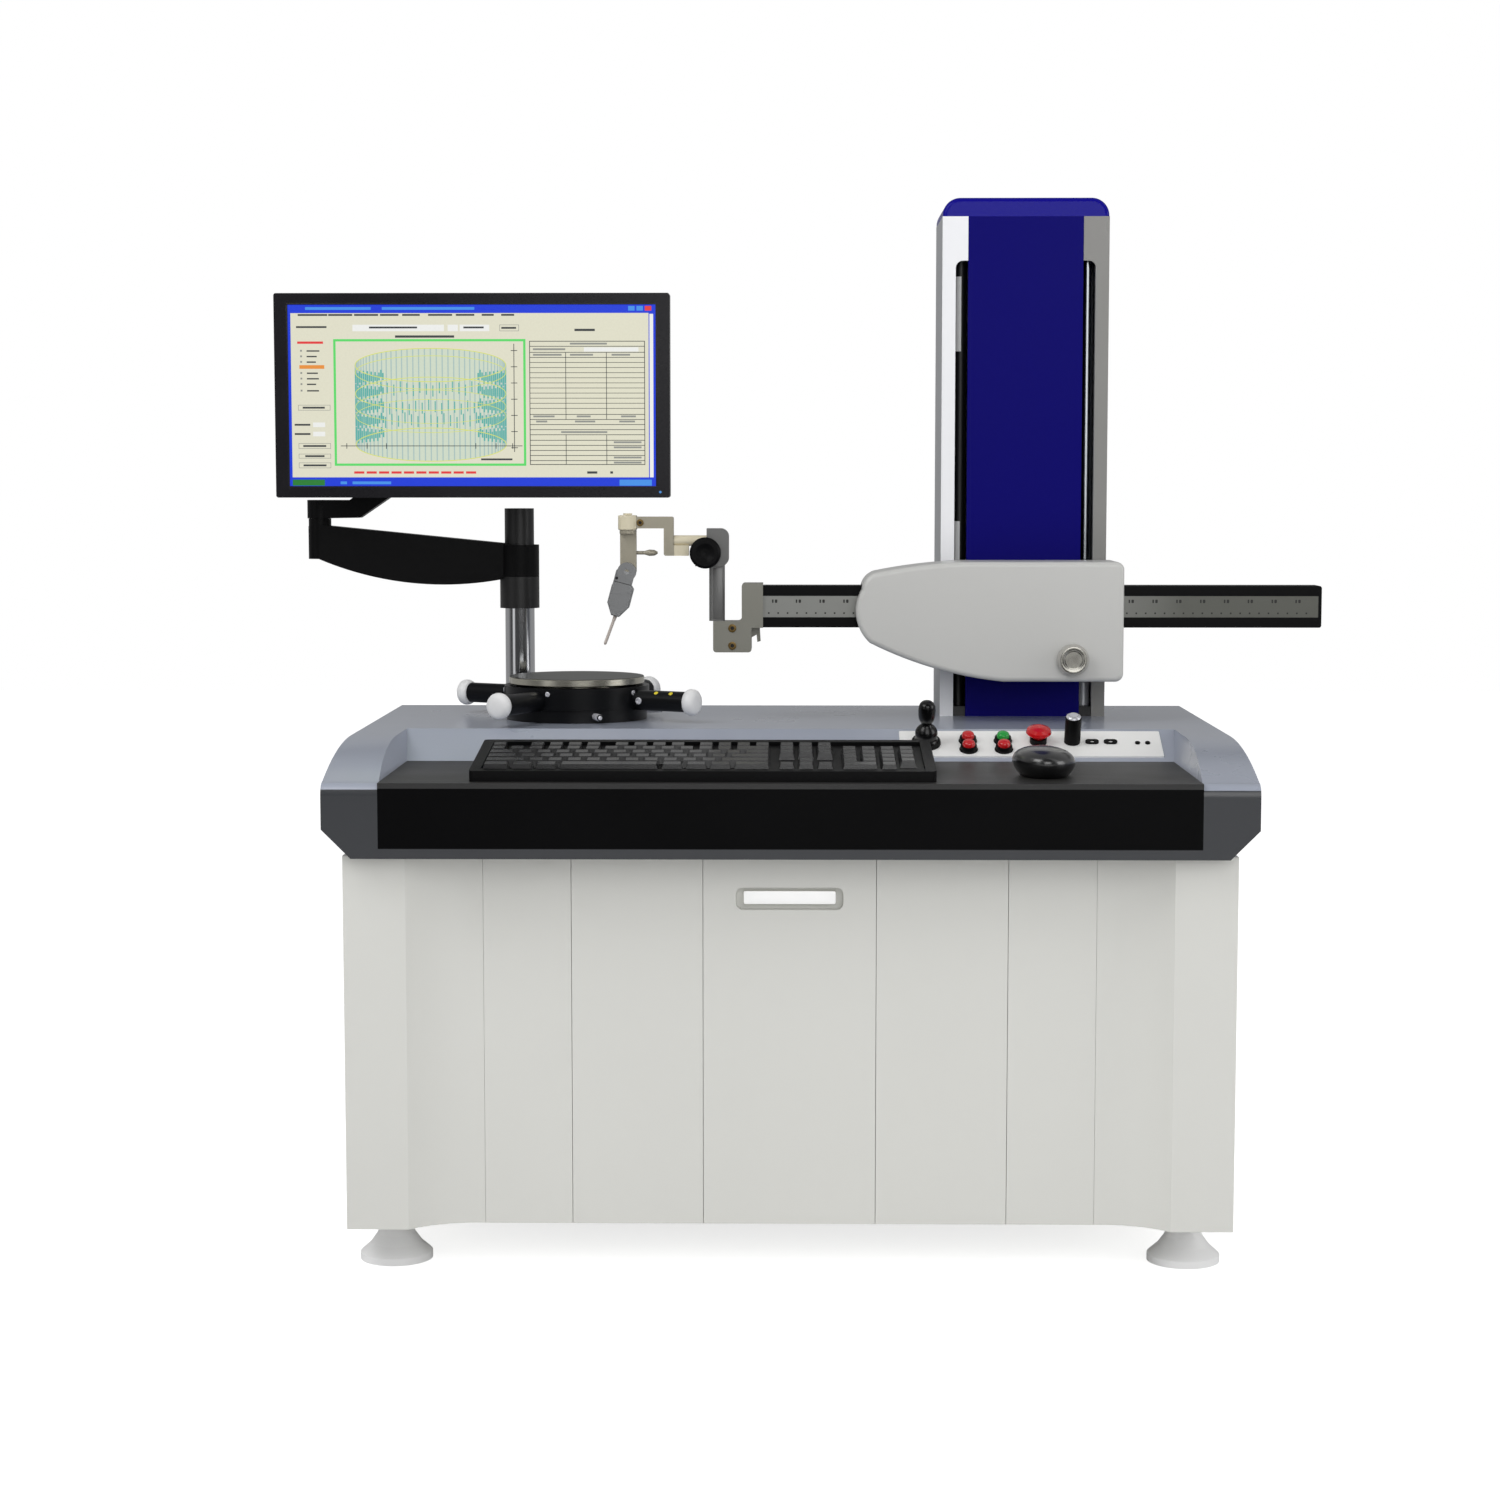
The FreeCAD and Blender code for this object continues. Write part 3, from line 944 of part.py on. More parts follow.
    # the case is let in round the holder's blade, which it turns beside
    blade_room = rod(V(0, 1 - PIVOT_GAP, 0), Y_AXIS, BLADE_HALF + 2 * PIVOT_GAP, BLADE_THICK + 2 * PIVOT_GAP)
    neck = box(-SENSOR_NECK_HALF, SENSOR_NECK_HALF, -SENSOR_DEPTH / 2, 1 - PIVOT_GAP, top - SENSOR_SHOULDER, 0)
    body = joined([block, neck, case.cut(blade_room)])
    body = body.cut(rod(V(0, -BIG / 2, 0), Y_AXIS, PIVOT_PIN_R + RUN, BIG))
    bore_lean = FreeCAD.Rotation(Y_AXIS, STYLUS_LEAN - SENSOR_LEAN)
    down = bore_lean.multVec(V(0, 0, -1))
    bore_start = V(0, 0, low) - down * (STYLUS_INSET + 1)
    body = body.cut(rod(bore_start, down, STYLUS_BORE, STYLUS_LENGTH))
    lean = FreeCAD.Placement(V(PIVOT_X, PROBE_Y, PIVOT_Z), FreeCAD.Rotation(Y_AXIS, SENSOR_LEAN))
    save("sensor_body", body.transformed(lean.toMatrix()))

    inset = STYLUS_INSET
    tip = STYLUS_LENGTH + inset
    needle = turned([(0, 0), (STYLUS_R, 0), (STYLUS_R, inset + 2), (STYLUS_TIP_R, inset + 8), (STYLUS_TIP_R, tip - 1.5),
                     (STYLUS_TIP_R * 0.4, tip), (0, tip)], V(0, 0, low) - down * inset, down)
    save("stylus", needle.transformed(lean.toMatrix()))
    foot_point = lean.multVec(V(0, 0, low) - down * (inset - 4))
    print("stylus pivot", [round(v, 2) for v in foot_point])


# monitor and its arm
def boss_between(start, end, half_width, low, high):
    """A straight flat arm between two vertical axes, seen from above."""
    across = end.sub(start)
    across.normalize()
    side = V(-across.y, across.x, 0) * half_width
    outline = [start + side, end + side, end - side, start - side]
    outline = [V(p.x, p.y, low) for p in outline]
    return prism(outline, V(0, 0, high - low))


def monitor_arm():
    post = rod(V(POST_X, POST_Y, TABLE_TOP), Z_AXIS, POST_R, POST_TOP - TABLE_TOP)
    collar = rod(V(POST_X, POST_Y, COLLAR_BOTTOM), Z_AXIS, COLLAR_R, HUB_BOTTOM - SEAT - COLLAR_BOTTOM)
    foot_half = BACK - POST_Y
    foot = box(POST_X - foot_half * 1.4, POST_X + foot_half * 1.4, POST_Y - foot_half, BACK, TABLE_TOP,
               TABLE_TOP + POST_BASE)
    save("monitor_post", joined([post, collar, round_along(foot, Z_AXIS, 6)]))

    hub = V(POST_X, POST_Y, 0)
    elbow = V(ELBOW_X, ELBOW_Y, 0)
    hub_shape = rod(V(POST_X, POST_Y, HUB_BOTTOM), Z_AXIS, COLLAR_R, HUB_TOP - HUB_BOTTOM)
    # the arm is a belly-shaped casting: its front view, cut to its width
    belly = HUB_BOTTOM - 9
    edges = [
        Part.makeLine(V(POST_X, 0, HUB_TOP), V(ELBOW_X, 0, ELBOW_TOP - 8)),
        Part.makeLine(V(ELBOW_X, 0, ELBOW_TOP - 8), V(ELBOW_X, 0, ELBOW_BOTTOM - 2)),
        Part.Arc(V(ELBOW_X, 0, ELBOW_BOTTOM - 2), V((POST_X + ELBOW_X) / 2, 0, belly),
                 V(POST_X, 0, HUB_BOTTOM + 1)).toShape(),
        Part.makeLine(V(POST_X, 0, HUB_BOTTOM + 1), V(POST_X, 0, HUB_TOP)),
    ]
    side_view = Part.Face(Part.Wire(edges)).extrude(V(0, BIG, 0))
    plan = boss_between(hub, elbow, LOWER_ARM_THICK / 2, belly - 5, ELBOW_TOP)
    beam = side_view.common(plan)
    elbow_shape = rod(V(ELBOW_X, ELBOW_Y, ELBOW_BOTTOM), Z_AXIS, ELBOW_R, ELBOW_TOP - ELBOW_BOTTOM)
    end_round = rod(V(ELBOW_X, ELBOW_Y, ELBOW_BOTTOM - 2), Z_AXIS, LOWER_ARM_THICK / 2, ELBOW_TOP - 8 - ELBOW_BOTTOM)
    pin = rod(V(ELBOW_X, ELBOW_Y, ELBOW_TOP), Z_AXIS, ELBOW_PIN_R, UPPER_BOSS_TOP - ELBOW_TOP)
    lower = joined([hub_shape, beam, elbow_shape, end_round, pin])
    lower = lower.cut(rod(V(POST_X, POST_Y, COLLAR_BOTTOM), Z_AXIS, COLLAR_R + 1, HUB_BOTTOM - COLLAR_BOTTOM))
    save("lower_arm", lower.cut(rod(V(POST_X, POST_Y, 0), Z_AXIS, POST_R + RUN, BIG)))

    low = ELBOW_TOP + SEAT
    boss = rod(V(ELBOW_X, ELBOW_Y, low), Z_AXIS, PAN_BOSS_R, UPPER_BOSS_TOP - low)
    head_boss = rod(V(PAN_X, PAN_Y, PAN_BOSS_BOTTOM), Z_AXIS, PAN_BOSS_R, PAN_BOSS_TOP - PAN_BOSS_BOTTOM)
    pan_pin = rod(V(PAN_X, PAN_Y, PAN_BOSS_TOP), Z_AXIS, PAN_PIN_R, PAN_PIN_TOP - PAN_BOSS_TOP)
    shoulder = ELBOW_X + (PAN_X - ELBOW_X) * 0.26
    outline = [V(ELBOW_X, 0, low), V(shoulder, 0, low + 1), V(PAN_X, 0, PAN_BOSS_BOTTOM),
               V(PAN_X, 0, PAN_BOSS_TOP - 4), V(PAN_X - UPPER_ARM_HIGH, 0, PAN_BOSS_TOP - 8),
               V(shoulder - UPPER_ARM_HIGH / 2, 0, UPPER_BOSS_TOP), V(ELBOW_X, 0, UPPER_BOSS_TOP)]
    rise = prism(outline, V(0, BIG, 0))
    plan = boss_between(elbow, V(PAN_X, PAN_Y, 0), UPPER_ARM_THICK / 2, low - 1, PAN_BOSS_TOP)
    upper = joined([boss, head_boss, pan_pin, rise.common(plan)])
    save("upper_arm", upper.cut(rod(V(ELBOW_X, ELBOW_Y, 0), Z_AXIS, ELBOW_PIN_R + RUN, BIG / 2.3)))

    head_low = PAN_BOSS_TOP + SEAT
    sleeve = rod(V(PAN_X, PAN_Y, head_low), Z_AXIS, PAN_BOSS_R, PAN_PIN_TOP - head_low)
    neck = box(PAN_X - NECK_HALF, PAN_X + NECK_HALF, TILT_Y, PAN_Y, TILT_Z - TILT_R, TILT_Z + TILT_R)
    barrel = rod(V(PAN_X - NECK_HALF, TILT_Y, TILT_Z), X_AXIS, TILT_R, 2 * NECK_HALF)
    tilt_pin = rod(V(PAN_X - TILT_PIN_HALF, TILT_Y, TILT_Z), X_AXIS, TILT_PIN_R, 2 * TILT_PIN_HALF)
    head = joined([sleeve, neck, barrel, tilt_pin])
    save("monitor_head", head.cut(rod(V(PAN_X, PAN_Y, 0), Z_AXIS, PAN_PIN_R + RUN, BIG)))


def monitor():
    x0 = PAN_X - MONITOR_WIDTH / 2
    x1 = PAN_X + MONITOR_WIDTH / 2
    z0 = TILT_Z - MONITOR_HEIGHT / 2
    z1 = TILT_Z + MONITOR_HEIGHT / 2
    back = MONITOR_FRONT + MONITOR_DEPTH
    case = round_along(box(x0, x1, MONITOR_FRONT, back, z0, z1), Y_AXIS, MONITOR_CORNER)
    case = case.makeChamfer(MONITOR_CORNER / 2, [e for e in case.Edges if abs(e.BoundBox.YMin - back) < 0.01])
    screen_y = MONITOR_FRONT + SCREEN_SET_BACK
    sx0, sx1 = x0 + BEZEL_SIDE, x1 - BEZEL_SIDE
    sz0, sz1 = z0 + BEZEL_BOTTOM, z1 - BEZEL_BOTTOM
    case = case.cut(box(sx0, sx1, MONITOR_FRONT - 1, screen_y + SCREEN_THICK, sz0, sz1))
    lugs = []
    for side in (-1, 1):
        near = PAN_X + side * (NECK_HALF + 2)
        far = near + side * LUG_THICK
        a, b = sorted((near, far))
        lugs.append(box(a, b, back - 1, TILT_Y, TILT_Z - TILT_R, TILT_Z + TILT_R))
        lugs.append(rod(V(a, TILT_Y, TILT_Z), X_AXIS, TILT_R, LUG_THICK))
    case = joined([case] + lugs)
    case = case.cut(rod(V(PAN_X - 2 * TILT_PIN_HALF, TILT_Y, TILT_Z), X_AXIS, TILT_PIN_R + RUN, 4 * TILT_PIN_HALF))
    save("monitor_housing", case)
    save("monitor_screen", box(sx0, sx1, screen_y, screen_y + SCREEN_THICK, sz0, sz1))


# keyboard and mouse
KEY_ANGLE = math.degrees(math.atan2(KEYBOARD_REAR_HIGH - KEYBOARD_FRONT_HIGH, KEYBOARD_DEPTH))


def on_keyboard(shape):
    """Lay a shape made about (u, v, w) on the sloping key deck: u to the right, v up the slope."""
    place = FreeCAD.Placement(V(KEYBOARD_LEFT, KEYBOARD_FRONT, SHELF_TOP + KEYBOARD_FRONT_HIGH - KEYBOARD_WELL),
                              FreeCAD.Rotation(X_AXIS, KEY_ANGLE))
    return shape.transformed(place.toMatrix())


def key(column, row, units):
    """One tapered key; columns and rows count in key pitches from the front left."""
    u = KEYBOARD_RIM + 1 + column * KEY_PITCH_X
    v = KEYBOARD_RIM + 1 + row * KEY_PITCH_Y
    w = units * KEY_PITCH_X - KEY_GAP
    d = KEY_PITCH_Y - KEY_GAP
    wedge = Part.makeWedge(0, 0, 0, KEY_TAPER, KEY_TAPER, w, KEY_HIGH, d, d - KEY_TAPER * 0.6, w - KEY_TAPER)
    # the wedge stands along Y, so it is turned to stand up
    wedge = wedge.transformed(FreeCAD.Placement(V(0, d, 0), FreeCAD.Rotation(X_AXIS, 90)).toMatrix())
    wedge.translate(V(u, v, SEAT))
    return on_keyboard(wedge)


def key_layout():
    """(column, row, width in units) of every key but the space bar."""
    keys = []
    bottom = [(0, 1.5), (1.5, 1.25), (2.75, 1.25), (9.25, 1.25), (10.5, 1.25), (11.75, 1.25), (13.0, 2.0)]
    keys += [(column, 0, units) for column, units in bottom]
    row_starts = {1: (0, 2.25, 10, 2.75), 2: (0, 1.75, 11, 2.25), 3: (0, 1.5, 12, 1.5), 4: (0, 1.0, 12, 2.0)}
    for row, (start, first, count, last) in row_starts.items():
        keys.append((start, row, first))
        for i in range(count):
            keys.append((start + first + i, row, 1.0))
        keys.append((start + first + count, row, last))
    keys += [(column, 5, 1.0) for column in (0, 2, 3, 4, 5, 6.5, 7.5, 8.5, 9.5, 11, 12, 13, 14)]
    arrows = 15.3
    keys += [(arrows + i, 0, 1.0) for i in range(3)] + [(arrows + 1, 1, 1.0)]
    keys += [(arrows + i, row, 1.0) for row in (3, 4, 5) for i in range(3)]
    pad = 18.6
    keys += [(pad, 0, 2.0), (pad + 2, 0, 1.0)]
    keys += [(pad + i, row, 1.0) for row in (1, 2, 3, 4) for i in range(4)]
    return keys


def keyboard():
    right = KEYBOARD_LEFT + KEYBOARD_WIDTH
    rear = KEYBOARD_FRONT + KEYBOARD_DEPTH
    outline = [V(KEYBOARD_LEFT, KEYBOARD_FRONT, SHELF_TOP),
               V(KEYBOARD_LEFT, KEYBOARD_FRONT, SHELF_TOP + KEYBOARD_FRONT_HIGH),
               V(KEYBOARD_LEFT, rear, SHELF_TOP + KEYBOARD_REAR_HIGH), V(KEYBOARD_LEFT, rear, SHELF_TOP)]
    case = prism(outline, V(KEYBOARD_WIDTH, 0, 0))
    length = KEYBOARD_DEPTH / math.cos(math.radians(KEY_ANGLE))
    well = box(KEYBOARD_RIM, KEYBOARD_WIDTH - KEYBOARD_RIM, KEYBOARD_RIM, length - KEYBOARD_RIM, 0, BIG / 10)
    case = case.cut(on_keyboard(well))
    bar_left = 4.0
    bar_units = 5.25
    u = KEYBOARD_RIM + 1 + bar_left * KEY_PITCH_X
    v = KEYBOARD_RIM + 1
    pocket = box(u - 1, u + bar_units * KEY_PITCH_X, v - 0.5, v + KEY_PITCH_Y - 1, -KEY_TRAVEL - 0.5, 1)
    case = case.cut(on_keyboard(pocket))
    save("keyboard_case", round_along(case, Z_AXIS, 5))
    save("keyboard_keys", *[key(column, row, units) for column, row, units in key_layout()])
    save("space_bar", key(bar_left, 0, bar_units))


def mouse():
    dome = Part.makeSphere(1.0)
    stretch = FreeCAD.Matrix()
    stretch.scale(V(MOUSE_HALF_WIDTH, MOUSE_HALF_LENGTH, MOUSE_HIGH - MOUSE_SKIRT))
    dome = dome.transformGeometry(stretch)
    dome.translate(V(MOUSE_X, MOUSE_Y, SHELF_TOP + SEAT + MOUSE_SKIRT))
    upper = dome.common(box(MOUSE_X - BIG, MOUSE_X + BIG, MOUSE_Y - BIG, MOUSE_Y + BIG,
                            SHELF_TOP + SEAT + MOUSE_SKIRT, SHELF_TOP + BIG))
    oval = Part.Ellipse(V(MOUSE_X, MOUSE_Y, SHELF_TOP + SEAT), MOUSE_HALF_LENGTH, MOUSE_HALF_WIDTH)
    oval.AngleXU = math.pi / 2
    skirt = Part.Face(Part.Wire(oval.toShape())).extrude(V(0, 0, MOUSE_SKIRT))
    shell = upper.fuse(skirt)
    wheel_y = MOUSE_Y + WHEEL_FORWARD
    wheel_z = SHELF_TOP + SEAT + MOUSE_HIGH - WHEEL_R - 1
    half = WHEEL_WIDTH / 2
    shell = shell.cut(rod(V(MOUSE_X - half - SEAT, wheel_y, wheel_z), X_AXIS, WHEEL_R + 1, WHEEL_WIDTH + 2 * SEAT))
    axle_half = half + 6
    shell = shell.cut(rod(V(MOUSE_X - axle_half, wheel_y, wheel_z), X_AXIS, 2 + RUN, 2 * axle_half))
    save("mouse_shell", shell)
    wheel = rod(V(MOUSE_X - half, wheel_y, wheel_z), X_AXIS, WHEEL_R, WHEEL_WIDTH)
    axle = rod(V(MOUSE_X - axle_half + SEAT, wheel_y, wheel_z), X_AXIS, 2, 2 * (axle_half - SEAT))
    save("mouse_wheel", joined([wheel, axle]))


# control panel
def controls():
    plate = box(PLATE_LEFT, PLATE_RIGHT, PLATE_LOW, PLATE_HIGH, 0, PLATE_T)
    plate = round_along(plate, Z_AXIS, 2)
    plate = plate.cut(rod(V(STICK_X, STICK_S, -1), Z_AXIS, STICK_HOLE_R, BIG))
    plate = plate.cut(rod(V(SPEED_X, SPEED_S, -1), Z_AXIS, SPEED_SHAFT_R + RUN, BIG))
    save("control_panel", on_slope(plate))

    fittings = []
    names = ("button_lower_left", "button_upper_left", "button_lower_right", "button_upper_right")
    places = [(x, s) for x in BUTTON_X for s in BUTTON_S]
    for name, (x, s) in zip(names, places):
        fittings.append(pipe(V(x, s, PLATE_T), Z_AXIS, BUTTON_R + BUTTON_COLLAR, BUTTON_R + RUN, BUTTON_COLLAR_HIGH))
        low = PLATE_T + BUTTON_TRAVEL + SEAT
        cap = rod(V(x, s, low), Z_AXIS, BUTTON_R, BUTTON_TOP - low)
        top_edge = [edge for edge in cap.Edges if abs(edge.BoundBox.ZMin - BUTTON_TOP) < 0.01]
        save(name, on_slope(cap.makeFillet(2.5, top_edge)))
    fittings.append(pipe(V(STOP_X, STOP_S, PLATE_T), Z_AXIS, STOP_COLLAR_R, STOP_STEM_R + RUN, STOP_COLLAR_HIGH))
    head_low = PLATE_T + STOP_COLLAR_HIGH + 5 + SEAT
    mushroom = turned([(0, PLATE_T + 5 + SEAT), (STOP_STEM_R, PLATE_T + 5 + SEAT), (STOP_STEM_R, head_low),
                       (STOP_R - 1.5, head_low), (STOP_R, head_low + 1.5), (STOP_R * 0.92, STOP_TOP - 3),
                       (STOP_R * 0.6, STOP_TOP - 0.8), (0, STOP_TOP)], V(STOP_X, STOP_S, 0), Z_AXIS)
    save("stop_mushroom", on_slope(mushroom))
    for x in SOCKET_X:
        half = SOCKET_LENGTH / 2
        r = SOCKET_WIDTH / 2
        oval = box(x - half, x + half, SOCKET_S - r, SOCKET_S + r, PLATE_T, PLATE_T + 2)
        oval = round_along(oval, Z_AXIS, r - 0.01)
        fittings.append(oval.cut(rod(V(x, SOCKET_S, PLATE_T - 1), Z_AXIS, r - 1.5, BIG)))
    for x in LAMP_X:
        fittings.append(rod(V(x, LAMP_S, PLATE_T), Z_AXIS, LAMP_R, 1.5))
    save("panel_fittings", *[on_slope(piece) for piece in fittings])

    low = PLATE_T + SEAT
    speed = turned([(0, -POCKET_DEPTH / 2), (SPEED_SHAFT_R, -POCKET_DEPTH / 2), (SPEED_SHAFT_R, low), (SPEED_R, low),
                    (SPEED_R, SPEED_HIGH - 5), (SPEED_R - 1.5, SPEED_HIGH - 4), (SPEED_R * 0.6, SPEED_HIGH - 1),
                    (0, SPEED_HIGH)], V(SPEED_X, SPEED_S, 0), Z_AXIS)
    save("speed_knob", on_slope(speed))

    # the joystick turns in a ring about X, and with the ring about the slope line
    ring = pipe(V(STICK_X, STICK_S, -GIMBAL_HIGH / 2), Z_AXIS, GIMBAL_R, GIMBAL_BORE, GIMBAL_HIGH)
    for side in (-1, 1):
        ring = ring.fuse(rod(V(STICK_X + side * (GIMBAL_R - 0.5), STICK_S, 0), X_AXIS * side, 1.0,
                             STICK_HOLE_R - SEAT - GIMBAL_R + 0.5))
    save("joystick_gimbal", on_slope(ring.removeSplitter()))
    stick = turned([(0, -6), (STICK_SHAFT_R, -6), (STICK_SHAFT_R, STICK_HANDLE_LOW), (STICK_HANDLE_R * 0.75, STICK_HANDLE_LOW),
                    (STICK_HANDLE_R, STICK_HANDLE_LOW + 6), (STICK_HANDLE_R, STICK_HANDLE_TOP - 4),
                    (STICK_HANDLE_R - 3, STICK_HANDLE_TOP), (0, STICK_HANDLE_TOP)], V(STICK_X, STICK_S, 0), Z_AXIS)
    cross = rod(V(STICK_X, STICK_S - GIMBAL_BORE + SEAT, 0), Y_AXIS, 1.0, 2 * (GIMBAL_BORE - SEAT))
    save("joystick_stick", on_slope(stick.fuse(cross)))
    boot = turned([(BOOT_BORE, 0), (BOOT_R + 2, 0), (BOOT_R + 2, 2), (BOOT_R - 1, 4), (BOOT_R, 6), (BOOT_R - 2, 8),
                   (BOOT_R - 1, 10), (BOOT_R - 2.5, BOOT_HIGH), (BOOT_BORE, BOOT_HIGH)],
                  V(STICK_X, STICK_S, PLATE_T), Z_AXIS)
    save("joystick_boot", on_slope(boot))


def main():
    os.makedirs("parts", exist_ok=True)
    table_housing()
    front_apron()
    keyboard_shelf()
    cabinet()
    drawer()
    levelling_feet()
    worktable()
    column()
    carriage()
    arm()
    probe()
    monitor_arm()
    monitor()
    keyboard()
    mouse()
    controls()


main()
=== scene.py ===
# %% [markdown]
# # Cylindricity tester
#
# This lesson dresses the measuring machine that the CAD frame holds: a steel cabinet, a painted
# table, a turning worktable, a column with a radial arm, a monitor and a keyboard. The frame gives
# every rigid piece at its place and in metres. The lesson adds the finishes and the small pieces
# that a machine of this kind shows up close: screws, graduations, key caps, seals and lenses.
#
# The first cell loads the frame and moves each piece's place into its mesh.

# %% Load the frame
import math

import bpy
from mathutils import Matrix, Vector


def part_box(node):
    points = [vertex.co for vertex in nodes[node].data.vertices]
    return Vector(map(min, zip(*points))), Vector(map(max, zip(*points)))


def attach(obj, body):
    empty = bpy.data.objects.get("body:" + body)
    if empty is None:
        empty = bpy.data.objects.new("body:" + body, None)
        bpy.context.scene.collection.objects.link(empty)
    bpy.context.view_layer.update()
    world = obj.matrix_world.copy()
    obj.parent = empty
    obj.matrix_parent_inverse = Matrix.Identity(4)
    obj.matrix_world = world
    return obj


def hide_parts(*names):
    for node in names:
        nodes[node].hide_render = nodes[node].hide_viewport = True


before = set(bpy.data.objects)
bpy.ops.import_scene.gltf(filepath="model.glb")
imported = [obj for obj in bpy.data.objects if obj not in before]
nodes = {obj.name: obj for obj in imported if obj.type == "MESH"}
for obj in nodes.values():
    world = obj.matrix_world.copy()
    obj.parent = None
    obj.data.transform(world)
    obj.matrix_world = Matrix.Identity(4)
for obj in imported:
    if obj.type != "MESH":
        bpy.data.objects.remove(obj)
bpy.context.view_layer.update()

# %% [markdown]
# ## The camera
#
# The machine was photographed from the front, a little above the table, with a long lens. The
# height comes from the worktable's disc, which is seen as a thin ellipse, and the tilt from the
# column and cabinet, which stay almost upright. A lens of 69.6 mm on a 36 mm sensor at 3.46 m
# gives the same crop as the photograph.

# %% Camera
CAMERA_PLACE = (0.0, -3.4605, 0.888)
CAMERA_LENS = 69.6
CAMERA_SENSOR = 36.0
CAMERA_TILT_DEG = 84.6
CAMERA_TURN_DEG = 0.79

camera_data = bpy.data.cameras.new("bench_camera")
camera_data.lens = CAMERA_LENS
camera_data.sensor_width = CAMERA_SENSOR
camera_data.clip_end = 50.0
camera = bpy.data.objects.new("bench_camera", camera_data)
camera.location = CAMERA_PLACE
camera.rotation_euler = (math.radians(CAMERA_TILT_DEG), 0.0, math.radians(CAMERA_TURN_DEG))
bpy.context.scene.collection.objects.link(camera)
bpy.context.scene.camera = camera
print("camera:", CAMERA_LENS, "mm lens at", round(camera.location.length, 2), "m")

# %% [markdown]
# ## Light and floor
#
# The machine stands in an even white studio. Three large soft lamps give shape: one high at the
# left, a wide one in front and a low one from the right. The world adds a plain grey fill and is
# white to the camera. A real studio is white behind the machine and dim behind the camera, so
# reflections see a world that fades from white at the back to dark grey at the front, with two
# upright bright bands at the sides. Steel and gloss paint need that contrast. The floor is a pale
# sheet that keeps the machine's soft shadow.

# %% [markdown]
# Every shader below is a set of nodes with settings, values and links, so one helper adds a node
# with all three. Sockets are named by their label, or by number where a label occurs twice.

# %% Helper for shader nodes
MATH = "ShaderNodeMath"
VECTOR_MATH = "ShaderNodeVectorMath"
MAP_RANGE = "ShaderNodeMapRange"
NOISE = "ShaderNodeTexNoise"
WHITE = (1.0, 1.0, 1.0, 1.0)


def add_node(tree, kind, values=None, feeds=None, **settings):
    """Adds a shader node with its settings, its own values and its incoming links by socket."""
    node = tree.nodes.new(kind)
    for label, setting in settings.items():
        setattr(node, label, setting)
    for socket, value in (values or {}).items():
        node.inputs[socket].default_value = value
    for socket, source in (feeds or {}).items():
        tree.links.new(source, node.inputs[socket])
    return node


# %% [markdown]
# The world mixes three backgrounds by the kind of ray. The camera sees white, rough surfaces get
# the grey fill, and reflections get the fade with the bright bands. A lamp is an area light that
# is turned to face the middle of the bench.

# %% World and lamps
WORLD_FILL = 0.42
FADE_START, FADE_END = -0.45, 0.20
FRONT_GREY, BACK_WHITE = 0.06, 0.36
SOFTBOX_BANDS = ((-135.0, 9.0, 0.8), (108.0, 11.0, 0.9))
BAND_OUTER, BAND_INNER = 1.5, 0.5
scene = bpy.context.scene
scene.view_settings.view_transform = "Standard"

studio = bpy.data.worlds.new("white_studio")
scene.world = studio
studio.use_nodes = True
sky = studio.node_tree
fill = sky.nodes["Background"]
fill.inputs["Color"].default_value = WHITE
fill.inputs["Strength"].default_value = WORLD_FILL
seen = add_node(sky, "ShaderNodeBackground", {"Color": WHITE})
heading = add_node(sky, "ShaderNodeTexCoord")
parts_of_heading = add_node(sky, "ShaderNodeSeparateXYZ", feeds={0: heading.outputs["Generated"]})
to_right, to_back = parts_of_heading.outputs["X"], parts_of_heading.outputs["Y"]
front_to_back = add_node(sky, MAP_RANGE, {"From Min": FADE_START, "From Max": FADE_END,
                                          "To Min": FRONT_GREY, "To Max": BACK_WHITE},
                         {"Value": to_back}, interpolation_type="SMOOTHSTEP")
bearing = add_node(sky, MATH, feeds={0: to_right, 1: to_back}, operation="ARCTAN2")
total_light = front_to_back.outputs["Result"]
for middle_bearing, half_width, strength in SOFTBOX_BANDS:
    off = add_node(sky, MATH, {1: math.radians(middle_bearing)}, {0: bearing.outputs[0]},
                   operation="SUBTRACT")
    size_of_off = add_node(sky, MATH, feeds={0: off.outputs[0]}, operation="ABSOLUTE")
    band = add_node(sky, MAP_RANGE, {"From Min": math.radians(half_width * BAND_OUTER),
                                     "From Max": math.radians(half_width * BAND_INNER),
                                     "To Max": strength},
                    {"Value": size_of_off.outputs[0]}, interpolation_type="SMOOTHSTEP")
    more = add_node(sky, MATH, feeds={0: total_light, 1: band.outputs["Result"]}, operation="ADD")
    total_light = more.outputs[0]
mirrored = add_node(sky, "ShaderNodeBackground", {"Color": WHITE}, {"Strength": total_light})
path = add_node(sky, "ShaderNodeLightPath")
either = add_node(sky, MATH, feeds={0: path.outputs["Is Camera Ray"],
                                    1: path.outputs["Is Transmission Ray"]}, operation="MAXIMUM")
gloss = add_node(sky, "ShaderNodeMixShader", feeds={"Fac": path.outputs["Is Glossy Ray"],
                                                    1: fill.outputs["Background"],
                                                    2: mirrored.outputs["Background"]})
choose = add_node(sky, "ShaderNodeMixShader", feeds={"Fac": either.outputs[0],
                                                     1: gloss.outputs["Shader"],
                                                     2: seen.outputs["Background"]})
sky.links.new(choose.outputs["Shader"], sky.nodes["World Output"].inputs["Surface"])

LAMP_TARGET = Vector((0.0, 0.0, 0.6))


